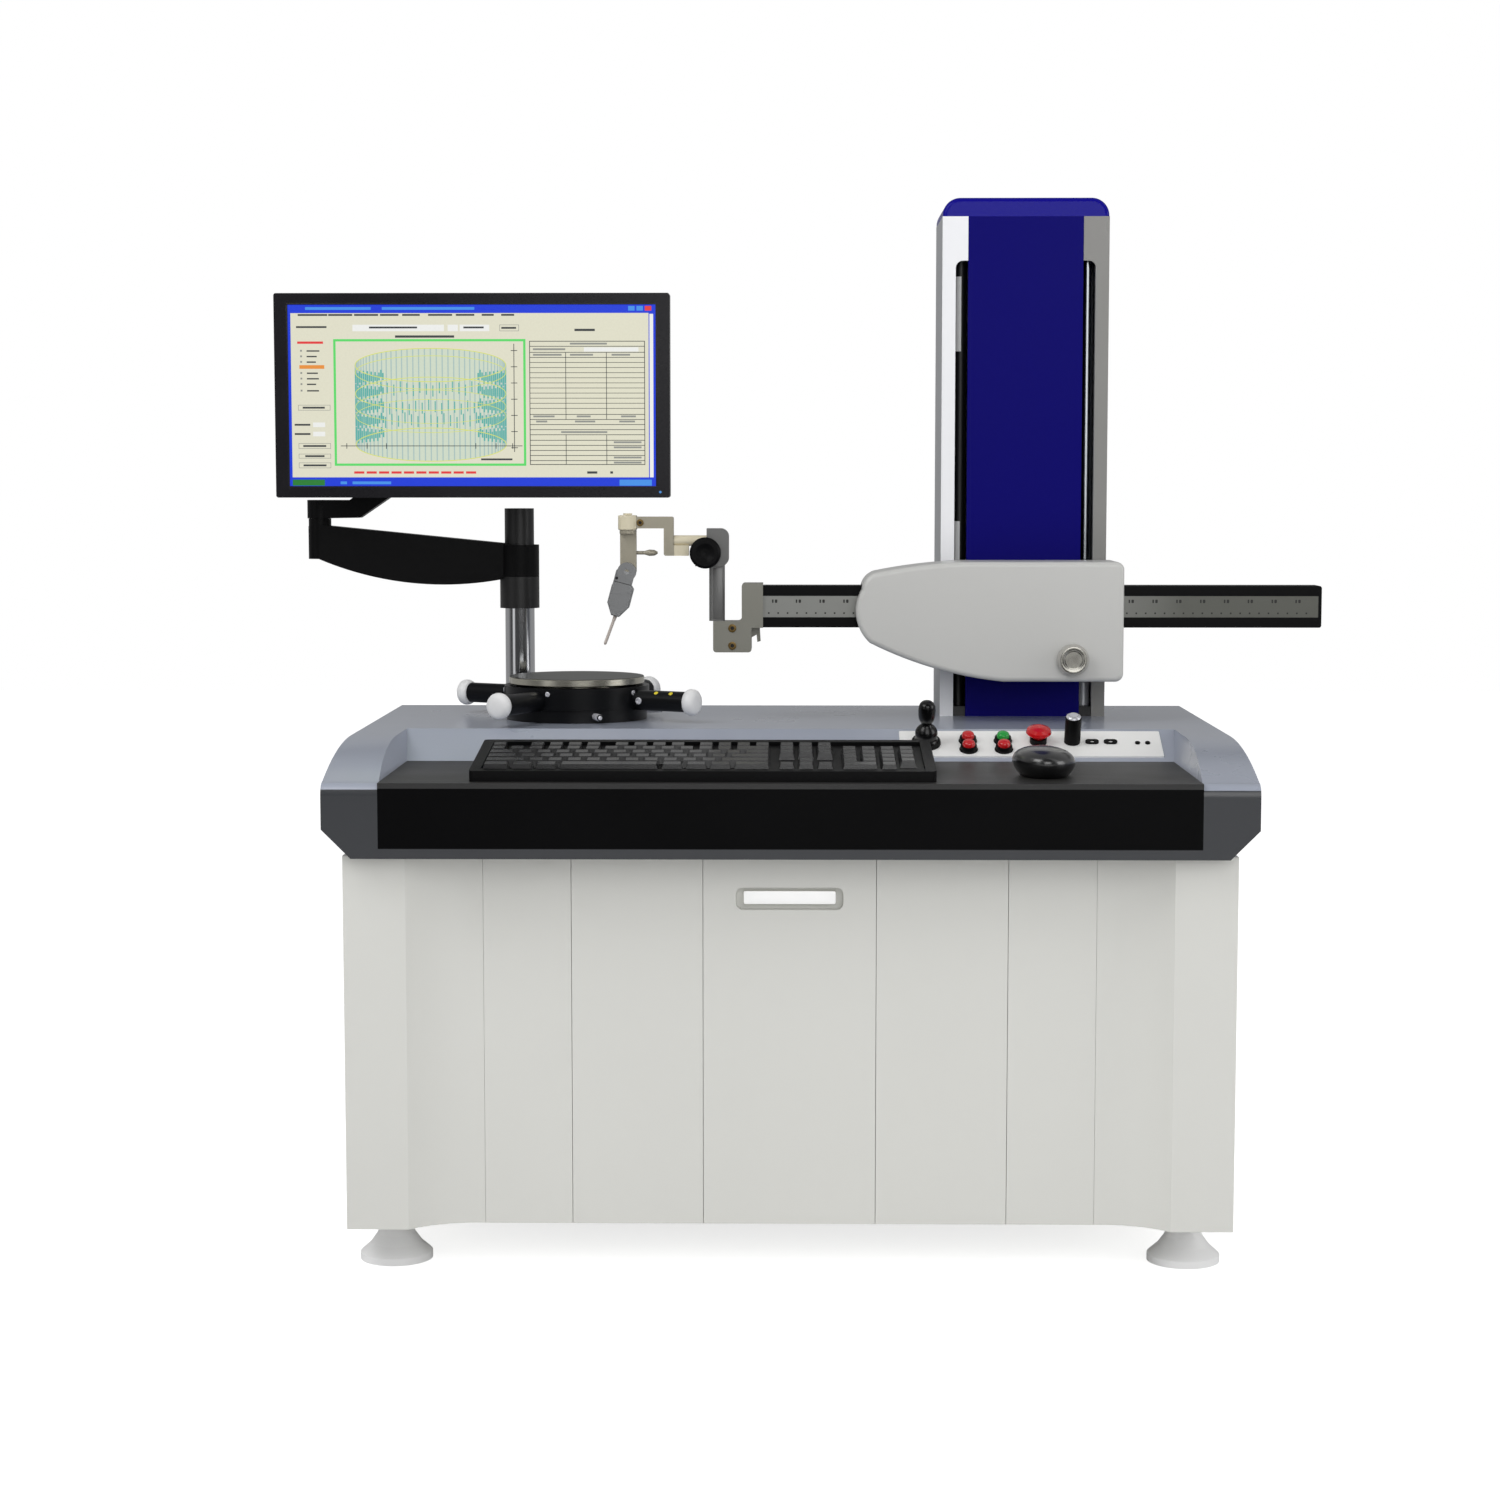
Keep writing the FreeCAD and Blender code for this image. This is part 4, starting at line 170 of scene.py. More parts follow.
def soft_lamp(name, place, size, watts):
    """A square area lamp of a given side, turned to face the middle of the bench."""
    data = bpy.data.lights.new(name, "AREA")
    data.size = size
    data.energy = watts
    lamp = bpy.data.objects.new(name, data)
    lamp.location = place
    toward = LAMP_TARGET - Vector(place)
    lamp.rotation_euler = toward.to_track_quat("-Z", "Y").to_euler()
    scene.collection.objects.link(lamp)
    return lamp


soft_lamp("high_left_lamp", (-1.6, -1.4, 2.6), 1.6, 26.0)
soft_lamp("front_lamp", (0.6, -3.2, 1.7), 2.0, 30.0)
soft_lamp("right_lamp", (2.4, -0.6, 1.2), 1.2, 9.0)

# %% [markdown]
# The floor is a large plane just under the feet. It glows to the camera alone, which makes it as
# white as the studio, while its paint still takes the machine's soft shadow.

# %% Floor
FLOOR_SIDE = 14.0
FLOOR_PLACE = (0.0, 1.5, -0.0005)
FLOOR_GLOW = 0.72
bpy.ops.object.select_all(action="DESELECT")
bpy.ops.mesh.primitive_plane_add(size=FLOOR_SIDE, location=FLOOR_PLACE)
floor = bpy.context.object
floor.name = "studio_floor"
floor_paint = bpy.data.materials.new("studio_floor")
floor_paint.use_nodes = True
sheet = floor_paint.node_tree
floor_shader = sheet.nodes["Principled BSDF"]
floor_shader.inputs["Base Color"].default_value = (0.90, 0.90, 0.90, 1.0)
floor_shader.inputs["Roughness"].default_value = 0.9
floor_shader.inputs["Specular IOR Level"].default_value = 0.1
seen_by = add_node(sheet, "ShaderNodeLightPath")
glow = add_node(sheet, "ShaderNodeEmission", {"Strength": FLOOR_GLOW})
unlit = add_node(sheet, "ShaderNodeEmission", {"Strength": 0.0})
pick = add_node(sheet, "ShaderNodeMixShader", feeds={"Fac": seen_by.outputs["Is Camera Ray"],
                                                     1: unlit.outputs["Emission"],
                                                     2: glow.outputs["Emission"]})
both = add_node(sheet, "ShaderNodeAddShader", feeds={0: floor_shader.outputs["BSDF"],
                                                     1: pick.outputs["Shader"]})
sheet.links.new(both.outputs["Shader"], sheet.nodes["Material Output"].inputs["Surface"])
floor.data.materials.append(floor_paint)
print("floor side:", FLOOR_SIDE)

# %% [markdown]
# ## Shared surface effects
#
# Paint, plastic and metal differ in colour, but share the same small faults: slow changes of
# tone, a fine grain under the gloss, dust on what faces up, and the marks of a brush or a lathe.
# Each of these is one node group, built once and placed in every material with its own values.
# The groups read Object coordinates, so a pattern keeps its real size on every piece.

# %% Helpers for node groups
COLOUR = "NodeSocketColor"
NUMBER = "NodeSocketFloat"


def tone(red, green, blue):
    """A colour given as screen values from 0 to 255, turned into the linear values of a shader."""
    linear = []
    for part in (red, green, blue):
        share = part / 255.0
        linear.append(share / 12.92 if share <= 0.04045 else ((share + 0.055) / 1.055) ** 2.4)
    return (linear[0], linear[1], linear[2], 1.0)


def new_group(name, inputs, outputs):
    """An empty shader group with named sockets, given as (name, kind, value)."""
    group = bpy.data.node_groups.new(name, "ShaderNodeTree")
    for label, kind, value in inputs:
        socket = group.interface.new_socket(label, in_out="INPUT", socket_type=kind)
        socket.default_value = value
    for label, kind in outputs:
        group.interface.new_socket(label, in_out="OUTPUT", socket_type=kind)
    start = group.nodes.new("NodeGroupInput")
    end = group.nodes.new("NodeGroupOutput")
    return group, start.outputs, end.inputs


def own_place(tree):
    """The Object coordinates of the piece that a shader is on."""
    return add_node(tree, "ShaderNodeTexCoord").outputs["Object"]


def from_three(tree, sources):
    """A vector from three group inputs."""
    combined = add_node(tree, "ShaderNodeCombineXYZ", feeds=dict(zip("XYZ", sources)))
    return combined.outputs[0]


# %% [markdown]
# The first group is the slow change of tone that a sprayed or moulded face shows. A wide noise
# with finer ones in it shifts the colour a little lighter or darker and moves the roughness with
# it. A stronger setting suits a handled knob, and a weak one suits new paint.

# %% Group: uneven tone
uneven, given, result = new_group(
    "uneven_tone",
    [("Colour", COLOUR, (0.5, 0.5, 0.5, 1.0)), ("Amount", NUMBER, 0.05), ("Size", NUMBER, 6.0),
     ("Roughness", NUMBER, 0.4), ("Sheen change", NUMBER, 0.06)],
    [("Colour", COLOUR), ("Roughness", NUMBER)])
wide = add_node(uneven, NOISE, {"Detail": 4.0}, {"Vector": own_place(uneven), "Scale": given["Size"]})
spread = add_node(uneven, MAP_RANGE, {"From Min": 0.3, "From Max": 0.7, "To Min": -1.0, "To Max": 1.0},
                  {"Value": wide.outputs["Fac"]}).outputs["Result"]
shift = add_node(uneven, MATH, feeds={0: spread, 1: given["Amount"]}, operation="MULTIPLY")
lighten = add_node(uneven, MATH, {1: 1.0}, {0: shift.outputs[0]}, operation="ADD")
shade = add_node(uneven, VECTOR_MATH, feeds={0: given["Colour"], "Scale": lighten.outputs[0]},
                 operation="SCALE")
gloss_shift = add_node(uneven, MATH, feeds={0: spread, 1: given["Sheen change"],
                                            2: given["Roughness"]}, operation="MULTIPLY_ADD")
uneven.links.new(shade.outputs["Vector"], result["Colour"])
uneven.links.new(gloss_shift.outputs[0], result["Roughness"])
print("uneven tone:", len(uneven.nodes), "nodes")

# %% [markdown]
# The second group is the grain that light catches: the orange peel of powder paint, the fine
# texture moulded into a key, or the sand-blasted skin of a casting. It gives a height, which a
# Bump node in the material turns into a normal.

# %% Group: fine grain
grain, given, result = new_group(
    "fine_grain", [("Size", NUMBER, 900.0), ("Softness", NUMBER, 0.5)], [("Height", NUMBER)])
pebble = add_node(grain, NOISE, {"Detail": 3.0}, {"Vector": own_place(grain), "Scale": given["Size"],
                                                  "Roughness": given["Softness"]})
grain.links.new(pebble.outputs["Fac"], result["Height"])
print("fine grain:", len(grain.nodes), "nodes")

# %% [markdown]
# The third group is dust. It settles where a face looks up, in soft patches, so the mask is the
# upward part of the normal times a noise. It lightens dark plastic and dulls its gloss.

# %% Group: settled dust
DUST_COLOUR = tone(168, 164, 156)
dust, given, result = new_group(
    "settled_dust",
    [("Colour", COLOUR, (0.5, 0.5, 0.5, 1.0)), ("Roughness", NUMBER, 0.4), ("Amount", NUMBER, 0.1)],
    [("Colour", COLOUR), ("Roughness", NUMBER)])
facing = add_node(dust, "ShaderNodeNewGeometry")
split = add_node(dust, "ShaderNodeSeparateXYZ", feeds={0: facing.outputs["Normal"]})
up = add_node(dust, MAP_RANGE, {"From Min": 0.4, "From Max": 1.0}, {"Value": split.outputs["Z"]})
patches = add_node(dust, NOISE, {"Scale": 34.0, "Detail": 6.0}, {"Vector": own_place(dust)})
settled = add_node(dust, MATH, feeds={0: up.outputs["Result"], 1: patches.outputs["Fac"]},
                   operation="MULTIPLY")
measured = add_node(dust, MATH, feeds={0: settled.outputs[0], 1: given["Amount"]},
                    operation="MULTIPLY")
veil = add_node(dust, "ShaderNodeMix", {"B": DUST_COLOUR},
                {"Factor": measured.outputs[0], "A": given["Colour"]}, data_type="RGBA")
dulled = add_node(dust, MATH, feeds={0: given["Roughness"], 1: measured.outputs[0]},
                  operation="ADD", use_clamp=True)
dust.links.new(veil.outputs["Result"], result["Colour"])
dust.links.new(dulled.outputs[0], result["Roughness"])
print("settled dust:", len(dust.nodes), "nodes")

# %% [markdown]
# The fourth group is the straight grain of brushed or drawn metal: a noise stretched a hundred
# times along one axis.

# %% Group: straight brush marks
brush, given, result = new_group(
    "straight_brush_marks",
    [("Along X", NUMBER, 1.0), ("Along Y", NUMBER, 1.0), ("Along Z", NUMBER, 1.0),
     ("Fineness", NUMBER, 2500.0)],
    [("Height", NUMBER)])
weights = from_three(brush, [given["Along X"], given["Along Y"], given["Along Z"]])
stretched = add_node(brush, VECTOR_MATH, feeds={0: own_place(brush), 1: weights},
                     operation="MULTIPLY")
strokes = add_node(brush, NOISE, {"Detail": 2.0}, {"Vector": stretched.outputs["Vector"],
                                                   "Scale": given["Fineness"]})
brush.links.new(strokes.outputs["Fac"], result["Height"])
print("brush marks:", len(brush.nodes), "nodes")

# %% [markdown]
# The fifth is the record-like grain of a turned or ground disc, a noise that changes only with the
# distance from an upright axis through a given point.

# %% Group: lathe rings
rings, given, result = new_group(
    "lathe_rings",
    [("Centre X", NUMBER, 0.0), ("Centre Y", NUMBER, 0.0), ("Rings per metre", NUMBER, 900.0)],
    [("Height", NUMBER)])
centre = from_three(rings, [given["Centre X"], given["Centre Y"]])
from_axis = add_node(rings, VECTOR_MATH, feeds={0: own_place(rings), 1: centre},
                     operation="SUBTRACT")
flat = add_node(rings, VECTOR_MATH, {1: (1.0, 1.0, 0.0)}, {0: from_axis.outputs["Vector"]},
                operation="MULTIPLY")
reach = add_node(rings, VECTOR_MATH, feeds={0: flat.outputs["Vector"]}, operation="LENGTH")
count = add_node(rings, MATH, feeds={0: reach.outputs["Value"], 1: given["Rings per metre"]},
                 operation="MULTIPLY")
groove = add_node(rings, NOISE, {"Scale": 1.0, "Detail": 2.0}, {"W": count.outputs[0]},
                  noise_dimensions="1D")
rings.links.new(groove.outputs["Fac"], result["Height"])
print("lathe rings:", len(rings.nodes), "nodes")

# %% [markdown]
# The last group finds a stretch of a piece. It weighs the Object coordinates into one number and
# returns 1 between two limits, with a narrow soft edge. A finish uses it where one casting carries
# two finishes, such as a chrome tube with a black collar, and also to paint shade, light and
# reflections onto a stretch of a piece.

# %% Group: a stretch of a piece
stretch_of, given, result = new_group(
    "stretch_of_piece",
    [("Weigh X", NUMBER, 0.0), ("Weigh Y", NUMBER, 0.0), ("Weigh Z", NUMBER, 1.0),
     ("Low", NUMBER, 0.0), ("High", NUMBER, 1.0), ("Edge", NUMBER, 0.0004)],
    [("Mask", NUMBER)])
weights = from_three(stretch_of, [given["Weigh X"], given["Weigh Y"], given["Weigh Z"]])
weighed = add_node(stretch_of, VECTOR_MATH, feeds={0: own_place(stretch_of), 1: weights},
                   operation="DOT_PRODUCT").outputs["Value"]
sides = []
for more, less in ((weighed, given["Low"]), (given["High"], weighed)):
    away = add_node(stretch_of, MATH, feeds={0: more, 1: less}, operation="SUBTRACT")
    sides.append(add_node(stretch_of, MATH, feeds={0: away.outputs[0], 1: given["Edge"]},
                          operation="DIVIDE", use_clamp=True))
between = add_node(stretch_of, MATH, feeds={0: sides[0].outputs[0], 1: sides[1].outputs[0]},
                   operation="MULTIPLY")
stretch_of.links.new(between.outputs[0], result["Mask"])
print("effects:", [g.name for g in bpy.data.node_groups])

# %% A finish from its values
def place_group(tree, group, values, feeds=None):
    """Puts a shared effect in a material, with its own values and its incoming links."""
    return add_node(tree, "ShaderNodeGroup", values, feeds, node_tree=group)


def finish(name, colour, roughness, metal=0.0, mottle=0.05, mottle_size=6.0, sheen_change=0.05,
           dustiness=0.0, grain_size=900.0, grain_depth=0.0, marks=None, mark_depth=0.0,
           coat=0.0, coat_roughness=0.05, specular=0.5, glow=0.0):
    """A surface finish: colour and gloss with uneven tone, dust, grain and tool marks."""
    made = bpy.data.materials.new(name)
    made.use_nodes = True
    tree = made.node_tree
    shader = tree.nodes["Principled BSDF"]
    shader.inputs["Metallic"].default_value = metal
    shader.inputs["Coat Weight"].default_value = coat
    shader.inputs["Coat Roughness"].default_value = coat_roughness
    shader.inputs["Specular IOR Level"].default_value = specular
    last = place_group(tree, uneven, {"Colour": colour, "Amount": mottle, "Size": mottle_size,
                                      "Roughness": roughness, "Sheen change": sheen_change})
    if dustiness:
        last = place_group(tree, dust, {"Amount": dustiness},
                           {"Colour": last.outputs["Colour"], "Roughness": last.outputs["Roughness"]})
    tree.links.new(last.outputs["Colour"], shader.inputs["Base Color"])
    tree.links.new(last.outputs["Roughness"], shader.inputs["Roughness"])
    if glow:
        tree.links.new(last.outputs["Colour"], shader.inputs["Emission Color"])
        shader.inputs["Emission Strength"].default_value = glow
    normal = None
    if grain_depth:
        skin = place_group(tree, grain, {"Size": grain_size})
        normal = bump_from(tree, skin.outputs["Height"], grain_depth, normal)
    if marks:
        group, values = marks
        cut = place_group(tree, group, values)
        normal = bump_from(tree, cut.outputs["Height"], mark_depth, normal)
    if normal:
        tree.links.new(normal, shader.inputs["Normal"])
    return made


def bump_from(tree, height, depth, before):
    """A Bump node for a height, stacked on the normal that came before it."""
    feeds = {"Height": height}
    if before:
        feeds["Normal"] = before
    bump = add_node(tree, "ShaderNodeBump", {"Strength": 1.0, "Distance": depth}, feeds)
    return bump.outputs["Normal"]


def dress(finish_made, *names):
    """Gives CAD nodes their finish through the slots of their objects."""
    for name in names:
        node = nodes[name]
        if not node.material_slots:
            node.data.materials.append(None)
        for held in node.material_slots:
            held.link = "OBJECT"
            held.material = finish_made


# %% [markdown]
# A piece may carry two finishes. The second one shows where a mask is 1, and a mask is one or more
# stretches along an axis that all have to hold. An open end lies beyond every piece. On several
# pieces the second finish carries painted shade, painted light or painted reflections.

# %% A second finish on a part of a piece
OPEN_END = 2.0


def stretch(axis, low=-OPEN_END, high=OPEN_END, edge=0.0004):
    """The mask of a stretch between two places along one axis, with the width of its soft edge."""
    values = {"Weigh " + other: float(other == axis) for other in "XYZ"}
    values.update({"Low": low, "High": high, "Edge": edge})
    return values


def joined_masks(tree, masks, operation):
    """Masks multiplied, or their largest value taken."""
    total = masks[0]
    for mask in masks[1:]:
        total = add_node(tree, MATH, feeds={0: total, 1: mask}, operation=operation).outputs[0]
    return total


def second_finish(made, masks, colour, roughness=None, metal=None):
    """Gives part of a finish another colour, gloss and metal where any of the masks is 1."""
    tree = made.node_tree
    shader = tree.nodes["Principled BSDF"]
    found = []
    for stretches in masks:
        held = [place_group(tree, stretch_of, values).outputs["Mask"] for values in stretches]
        found.append(joined_masks(tree, held, "MULTIPLY"))
    total = joined_masks(tree, found, "MAXIMUM")
    for socket, value in (("Base Color", colour), ("Roughness", roughness), ("Metallic", metal)):
        if value is None:
            continue
        target = shader.inputs[socket]
        kind = "RGBA" if socket == "Base Color" else "FLOAT"
        mix = add_node(tree, "ShaderNodeMix", {"B": value}, {"Factor": total}, data_type=kind)
        if target.links:
            tree.links.new(target.links[0].from_socket, mix.inputs["A"])
        else:
            mix.inputs["A"].default_value = target.default_value
        tree.links.new(mix.outputs["Result"], target)
    return made


# %% [markdown]
# The cabinet and the carriage are powder coated in off-white, the table in a blue grey. Powder
# paint has a soft gloss with a faint orange peel. The panel under the keyboard is the same sheet in
# gloss black, and the column's cover and cap are deep blue with a clear coat that runs to a sharp
# highlight.

# %% Painted sheet and castings
cabinet_paint = finish("cabinet_paint", tone(222, 222, 217), 0.42, mottle=0.012, mottle_size=3.0,
                       grain_size=1400.0, grain_depth=0.00004)
# The table's front faces below the slope and its bottom rim are painted a dark grey: painted shade,
# where the lamps from above leave them dim.
END_FACE_Y, END_FACE_TOP, RIM_TOP = -0.3345, 0.552, 0.4842
table_paint = finish("table_paint", tone(162, 168, 182), 0.28, mottle=0.02, mottle_size=4.0,
                     grain_size=1400.0, grain_depth=0.00003, dustiness=0.03, coat=0.35,
                     coat_roughness=0.16)
second_finish(table_paint, [[stretch("Y", high=END_FACE_Y), stretch("Z", high=END_FACE_TOP)],
                            [stretch("Z", high=RIM_TOP)]], tone(52, 54, 58), 0.34)
black_sheet = finish("black_sheet", tone(4, 4, 5), 0.36, mottle=0.10, sheen_change=0.04,
                     grain_size=1400.0, grain_depth=0.00003, specular=0.08)
shelf_vinyl = finish("shelf_vinyl", tone(40, 40, 40), 0.40, mottle=0.08, dustiness=0.05,
                     grain_size=2200.0, grain_depth=0.00010, specular=0.45)
COLUMN_MIDDLE = 0.291
SLOT_BACK_Y, SLOT_FOOT_TOP = 0.212, 0.606
SLOT_LEFT, SLOT_RIGHT = 0.200, 0.382
column_paint = finish("column_paint", tone(168, 170, 173), 0.45, mottle=0.03,
                      grain_size=1200.0, grain_depth=0.00006, dustiness=0.04)
# Where the core shows at the foot of the slots it is painted black: painted shade in the deep slot.
second_finish(column_paint, [[stretch("Y", high=SLOT_BACK_Y), stretch("X", SLOT_LEFT, SLOT_RIGHT),
                              stretch("Z", high=SLOT_FOOT_TOP)]], tone(12, 12, 13))
trim_paint = finish("trim_paint", tone(246, 247, 250), 0.30, mottle=0.015,
                    marks=(brush, {"Along Z": 0.01}), mark_depth=0.00002)
# The right-hand trim is painted darker than the left: painted shade, since the lamps light the column
# from the left.
second_finish(trim_paint, [[stretch("X", COLUMN_MIDDLE)]], tone(132, 131, 128))
cover_blue = finish("cover_blue", tone(7, 2, 108), 0.34, mottle=0.03, mottle_size=3.0,
                    grain_size=1400.0, grain_depth=0.00003, specular=0.05)
# The cap's blue is a lighter, glossier copy of the cover's: painted light on the cap that crowns the
# column.
cap_blue = finish("cap_blue", tone(18, 12, 140), 0.24, mottle=0.03, mottle_size=3.0,
                  grain_size=1400.0, grain_depth=0.00003, specular=0.12)
carriage_paint = finish("carriage_paint", tone(204, 204, 201), 0.36, mottle=0.012,
                        grain_size=1500.0, grain_depth=0.00004, coat=0.15, coat_roughness=0.15)
dress(cabinet_paint, "cabinet_side_panels", "cabinet_back_panel", "cabinet_floor",
      "cabinet_front_panels", "drawer")
dress(table_paint, "table_housing")
dress(black_sheet, "front_apron")
dress(shelf_vinyl, "keyboard_shelf")
dress(column_paint, "column_core")
dress(trim_paint, "column_side_trims")
dress(cover_blue, "column_front_cover")
dress(cap_blue, "column_top_cap")
dress(carriage_paint, "carriage_shell")
print("finishes after the paints:", len(bpy.data.materials))

# %% [markdown]
# The metals come next. Chrome on the monitor's post is nearly a mirror. The worktable's disc is
# ground steel with rings about its axis, and the arm's scale is satin steel brushed along the arm.
# The arm and the stage are black anodised, which is a dull metal with a fine grain, and the probe's
# crank is nickel plated, with a warm tone.

# %% Bare and plated metals
SPINDLE_X, SPINDLE_Y = -0.265, 0.1345
RINGS_ABOUT_SPINDLE = (rings, {"Centre X": SPINDLE_X, "Centre Y": SPINDLE_Y})
DISC_FACE_BOTTOM, DISC_EDGE = 0.6403, 0.0002
ground_steel = finish("ground_steel", tone(196, 193, 180), 0.24, metal=1.0, mottle=0.04,
                      marks=RINGS_ABOUT_SPINDLE, mark_depth=0.00003)
# The disc's upper face is painted darker than its rim: a painted reflection of the dim front of the
# studio in the ground steel.
second_finish(ground_steel, [[stretch("Z", DISC_FACE_BOTTOM, 0.70, DISC_EDGE)]], tone(70, 71, 65),
              0.36)
needle_steel = finish("needle_steel", tone(206, 196, 188), 0.36, metal=0.15, mottle=0.03)
SCALE_SHADE_X, SCALE_SHADE_EDGE = 0.36, 0.12
scale_steel = finish("scale_steel", tone(140, 141, 137), 0.36, metal=0.4, mottle=0.04,
                     marks=(brush, {"Along X": 0.01}), mark_depth=0.00003)
second_finish(scale_steel, [[stretch("X", SCALE_SHADE_X, 1.0, SCALE_SHADE_EDGE)]], tone(92, 93, 87))
machined = finish("machined", tone(182, 182, 180), 0.36, metal=0.9, mottle=0.04,
                  marks=(brush, {"Along X": 0.02}), mark_depth=0.00003)
arm_black = finish("arm_black", tone(8, 8, 9), 0.46, mottle=0.08,
                   marks=(brush, {"Along X": 0.01}), mark_depth=0.00002, specular=0.1)
stage_black = finish("stage_black", tone(10, 11, 14), 0.34, mottle=0.10,
                     marks=RINGS_ABOUT_SPINDLE, mark_depth=0.00002, specular=0.2)
CLAMP_HEAD_RIGHT, CLAMP_HEAD_BOTTOM = -0.1885, 0.8215
CRANK_UPRIGHT_RIGHT, CRANK_UPRIGHT_TOP = -0.1420, 0.8195
probe_nickel = finish("probe_nickel", tone(164, 158, 141), 0.40, metal=0.25, mottle=0.05,
                      grain_size=1800.0, grain_depth=0.00004)
second_finish(probe_nickel, [[stretch("X", high=CLAMP_HEAD_RIGHT), stretch("Z", CLAMP_HEAD_BOTTOM)],
                             [stretch("X", CRANK_UPRIGHT_RIGHT), stretch("Z", high=CRANK_UPRIGHT_TOP)]],
              tone(222, 213, 186), 0.45, 0.05)
sensor_grey = finish("sensor_grey", tone(136, 137, 138), 0.36, metal=0.45, mottle=0.05,
                     grain_size=1800.0, grain_depth=0.00005)
link_grey = finish("link_grey", tone(112, 112, 111), 0.36, metal=0.45, mottle=0.05,
                   grain_size=1800.0, grain_depth=0.00005)
bracket_grey = finish("bracket_grey", tone(134, 133, 124), 0.38, metal=0.3, mottle=0.06,
                      grain_size=1600.0, grain_depth=0.00005)
panel_plate = finish("panel_plate", tone(252, 252, 250), 0.36, metal=0.1, mottle=0.02,
                     marks=(brush, {"Along X": 0.01}), mark_depth=0.00003)
COLLAR_BOTTOM = 0.7165
post_chrome = finish("post_chrome", tone(206, 207, 210), 0.09, metal=1.0, mottle=0.02,
                     sheen_change=0.03, marks=(brush, {"Along Z": 0.01}), mark_depth=0.000005)
second_finish(post_chrome, [[stretch("Z", COLLAR_BOTTOM)]], tone(14, 14, 15), 0.40, 0.0)
REFLECTION_BAND_RIGHT = 0.2128
UPPER_REFLECTION_BAND, LOWER_REFLECTION_BAND = (1.0423, 1.135), (0.70, 0.8317)
RIGHT_RAIL_LEFT, RAIL_FOOT_TOP = 0.360, 0.634
rail_chrome = finish("rail_chrome", tone(150, 154, 158), 0.16, metal=1.0, mottle=0.03,
                     marks=(brush, {"Along Z": 0.01}), mark_depth=0.00001)
# The left rail is painted near black: a painted dark reflection in its chrome.
second_finish(rail_chrome, [[stretch("X", high=COLUMN_MIDDLE)]], tone(10, 10, 12), 0.45, 0.0)
# Two bands on the left rail are painted white: painted reflections of bright studio light.
second_finish(rail_chrome, [[stretch("X", high=REFLECTION_BAND_RIGHT), stretch("Z", *UPPER_REFLECTION_BAND)],
                            [stretch("X", high=REFLECTION_BAND_RIGHT), stretch("Z", *LOWER_REFLECTION_BAND)]],
              tone(236, 237, 236), 0.4, 0.0)
# The right rail's foot is painted pale: a painted reflection of bright light in its chrome.
second_finish(rail_chrome, [[stretch("X", RIGHT_RAIL_LEFT), stretch("Z", high=RAIL_FOOT_TOP)]],
              tone(226, 229, 233), 0.25, 0.3)
dress(post_chrome, "monitor_post")
dress(rail_chrome, "guide_rails")
dress(ground_steel, "worktable_disc", "lead_screw")
dress(needle_steel, "stylus")
dress(scale_steel, "arm_scale")
dress(machined, "carriage_block", "centering_slide_x", "centering_slide_y", "levelling_plate")
dress(arm_black, "arm_beam")
dress(stage_black, "spindle_housing", "rotating_stage")
dress(probe_nickel, "probe_crank", "sensor_holder")
dress(sensor_grey, "sensor_body")
dress(link_grey, "probe_link")
dress(bracket_grey, "arm_end_bracket")
dress(panel_plate, "control_panel")
print("finishes after the metals:", len(bpy.data.materials))

# %% [markdown]
# Plastics and rubber finish the list. The keyboard, the monitor's case and the arm are moulded in
# black with a fine spark-eroded texture, the mouse is gloss black, and the feet and knob caps are
# white nylon. The buttons are glossy coloured caps.

# %% Plastics and rubber
black_plastic = finish("black_plastic", tone(7, 7, 8), 0.42, mottle=0.08,
                       grain_size=2600.0, grain_depth=0.00008, specular=0.12)
key_plastic = finish("key_plastic", tone(14, 14, 16), 0.24, mottle=0.06,
                     grain_size=2600.0, grain_depth=0.00003, specular=0.9)
monitor_black = finish("monitor_black", tone(26, 25, 29), 0.30, mottle=0.06, dustiness=0.03,
                       grain_size=2200.0, grain_depth=0.00004, specular=0.25)
mouse_gloss = finish("mouse_gloss", tone(8, 8, 10), 0.30, mottle=0.05, specular=0.9,
                     coat=0.5, coat_roughness=0.12)
black_rubber = finish("black_rubber", tone(14, 14, 14), 0.55, mottle=0.10, dustiness=0.06,
                      grain_size=1600.0, grain_depth=0.00012, specular=0.2)
knob_grey = finish("knob_grey", tone(172, 170, 164), 0.34, mottle=0.03, coat=0.3,
                   grain_size=2200.0, grain_depth=0.00003)
white_nylon = finish("white_nylon", tone(240, 240, 240), 0.36, mottle=0.015,
                     grain_size=1600.0, grain_depth=0.00004)
button_red = finish("button_red", tone(200, 18, 26), 0.22, mottle=0.03, coat=0.5)
# The feet get a brighter copy of the white nylon, which lifts them out of the cabinet's shade: painted
# light.
foot_white = finish("foot_white", tone(255, 255, 255), 0.40, mottle=0.010,
                    grain_size=1600.0, grain_depth=0.00004)
button_green = finish("button_green", tone(22, 158, 56), 0.22, mottle=0.03, coat=0.5)
case_grey = finish("case_grey", tone(58, 58, 62), 0.45, mottle=0.04, grain_size=1200.0,
                   grain_depth=0.00005)
dress(black_plastic, "lower_arm", "upper_arm", "monitor_head", "keyboard_case",
      "probe_clamp_knob", "panel_fittings", "speed_knob", "joystick_stick", "joystick_gimbal")
dress(key_plastic, "keyboard_keys", "space_bar")
dress(monitor_black, "monitor_housing", "monitor_screen")
dress(mouse_gloss, "mouse_shell")
dress(black_rubber, "mouse_wheel", "joystick_boot")
dress(foot_white, "levelling_feet")
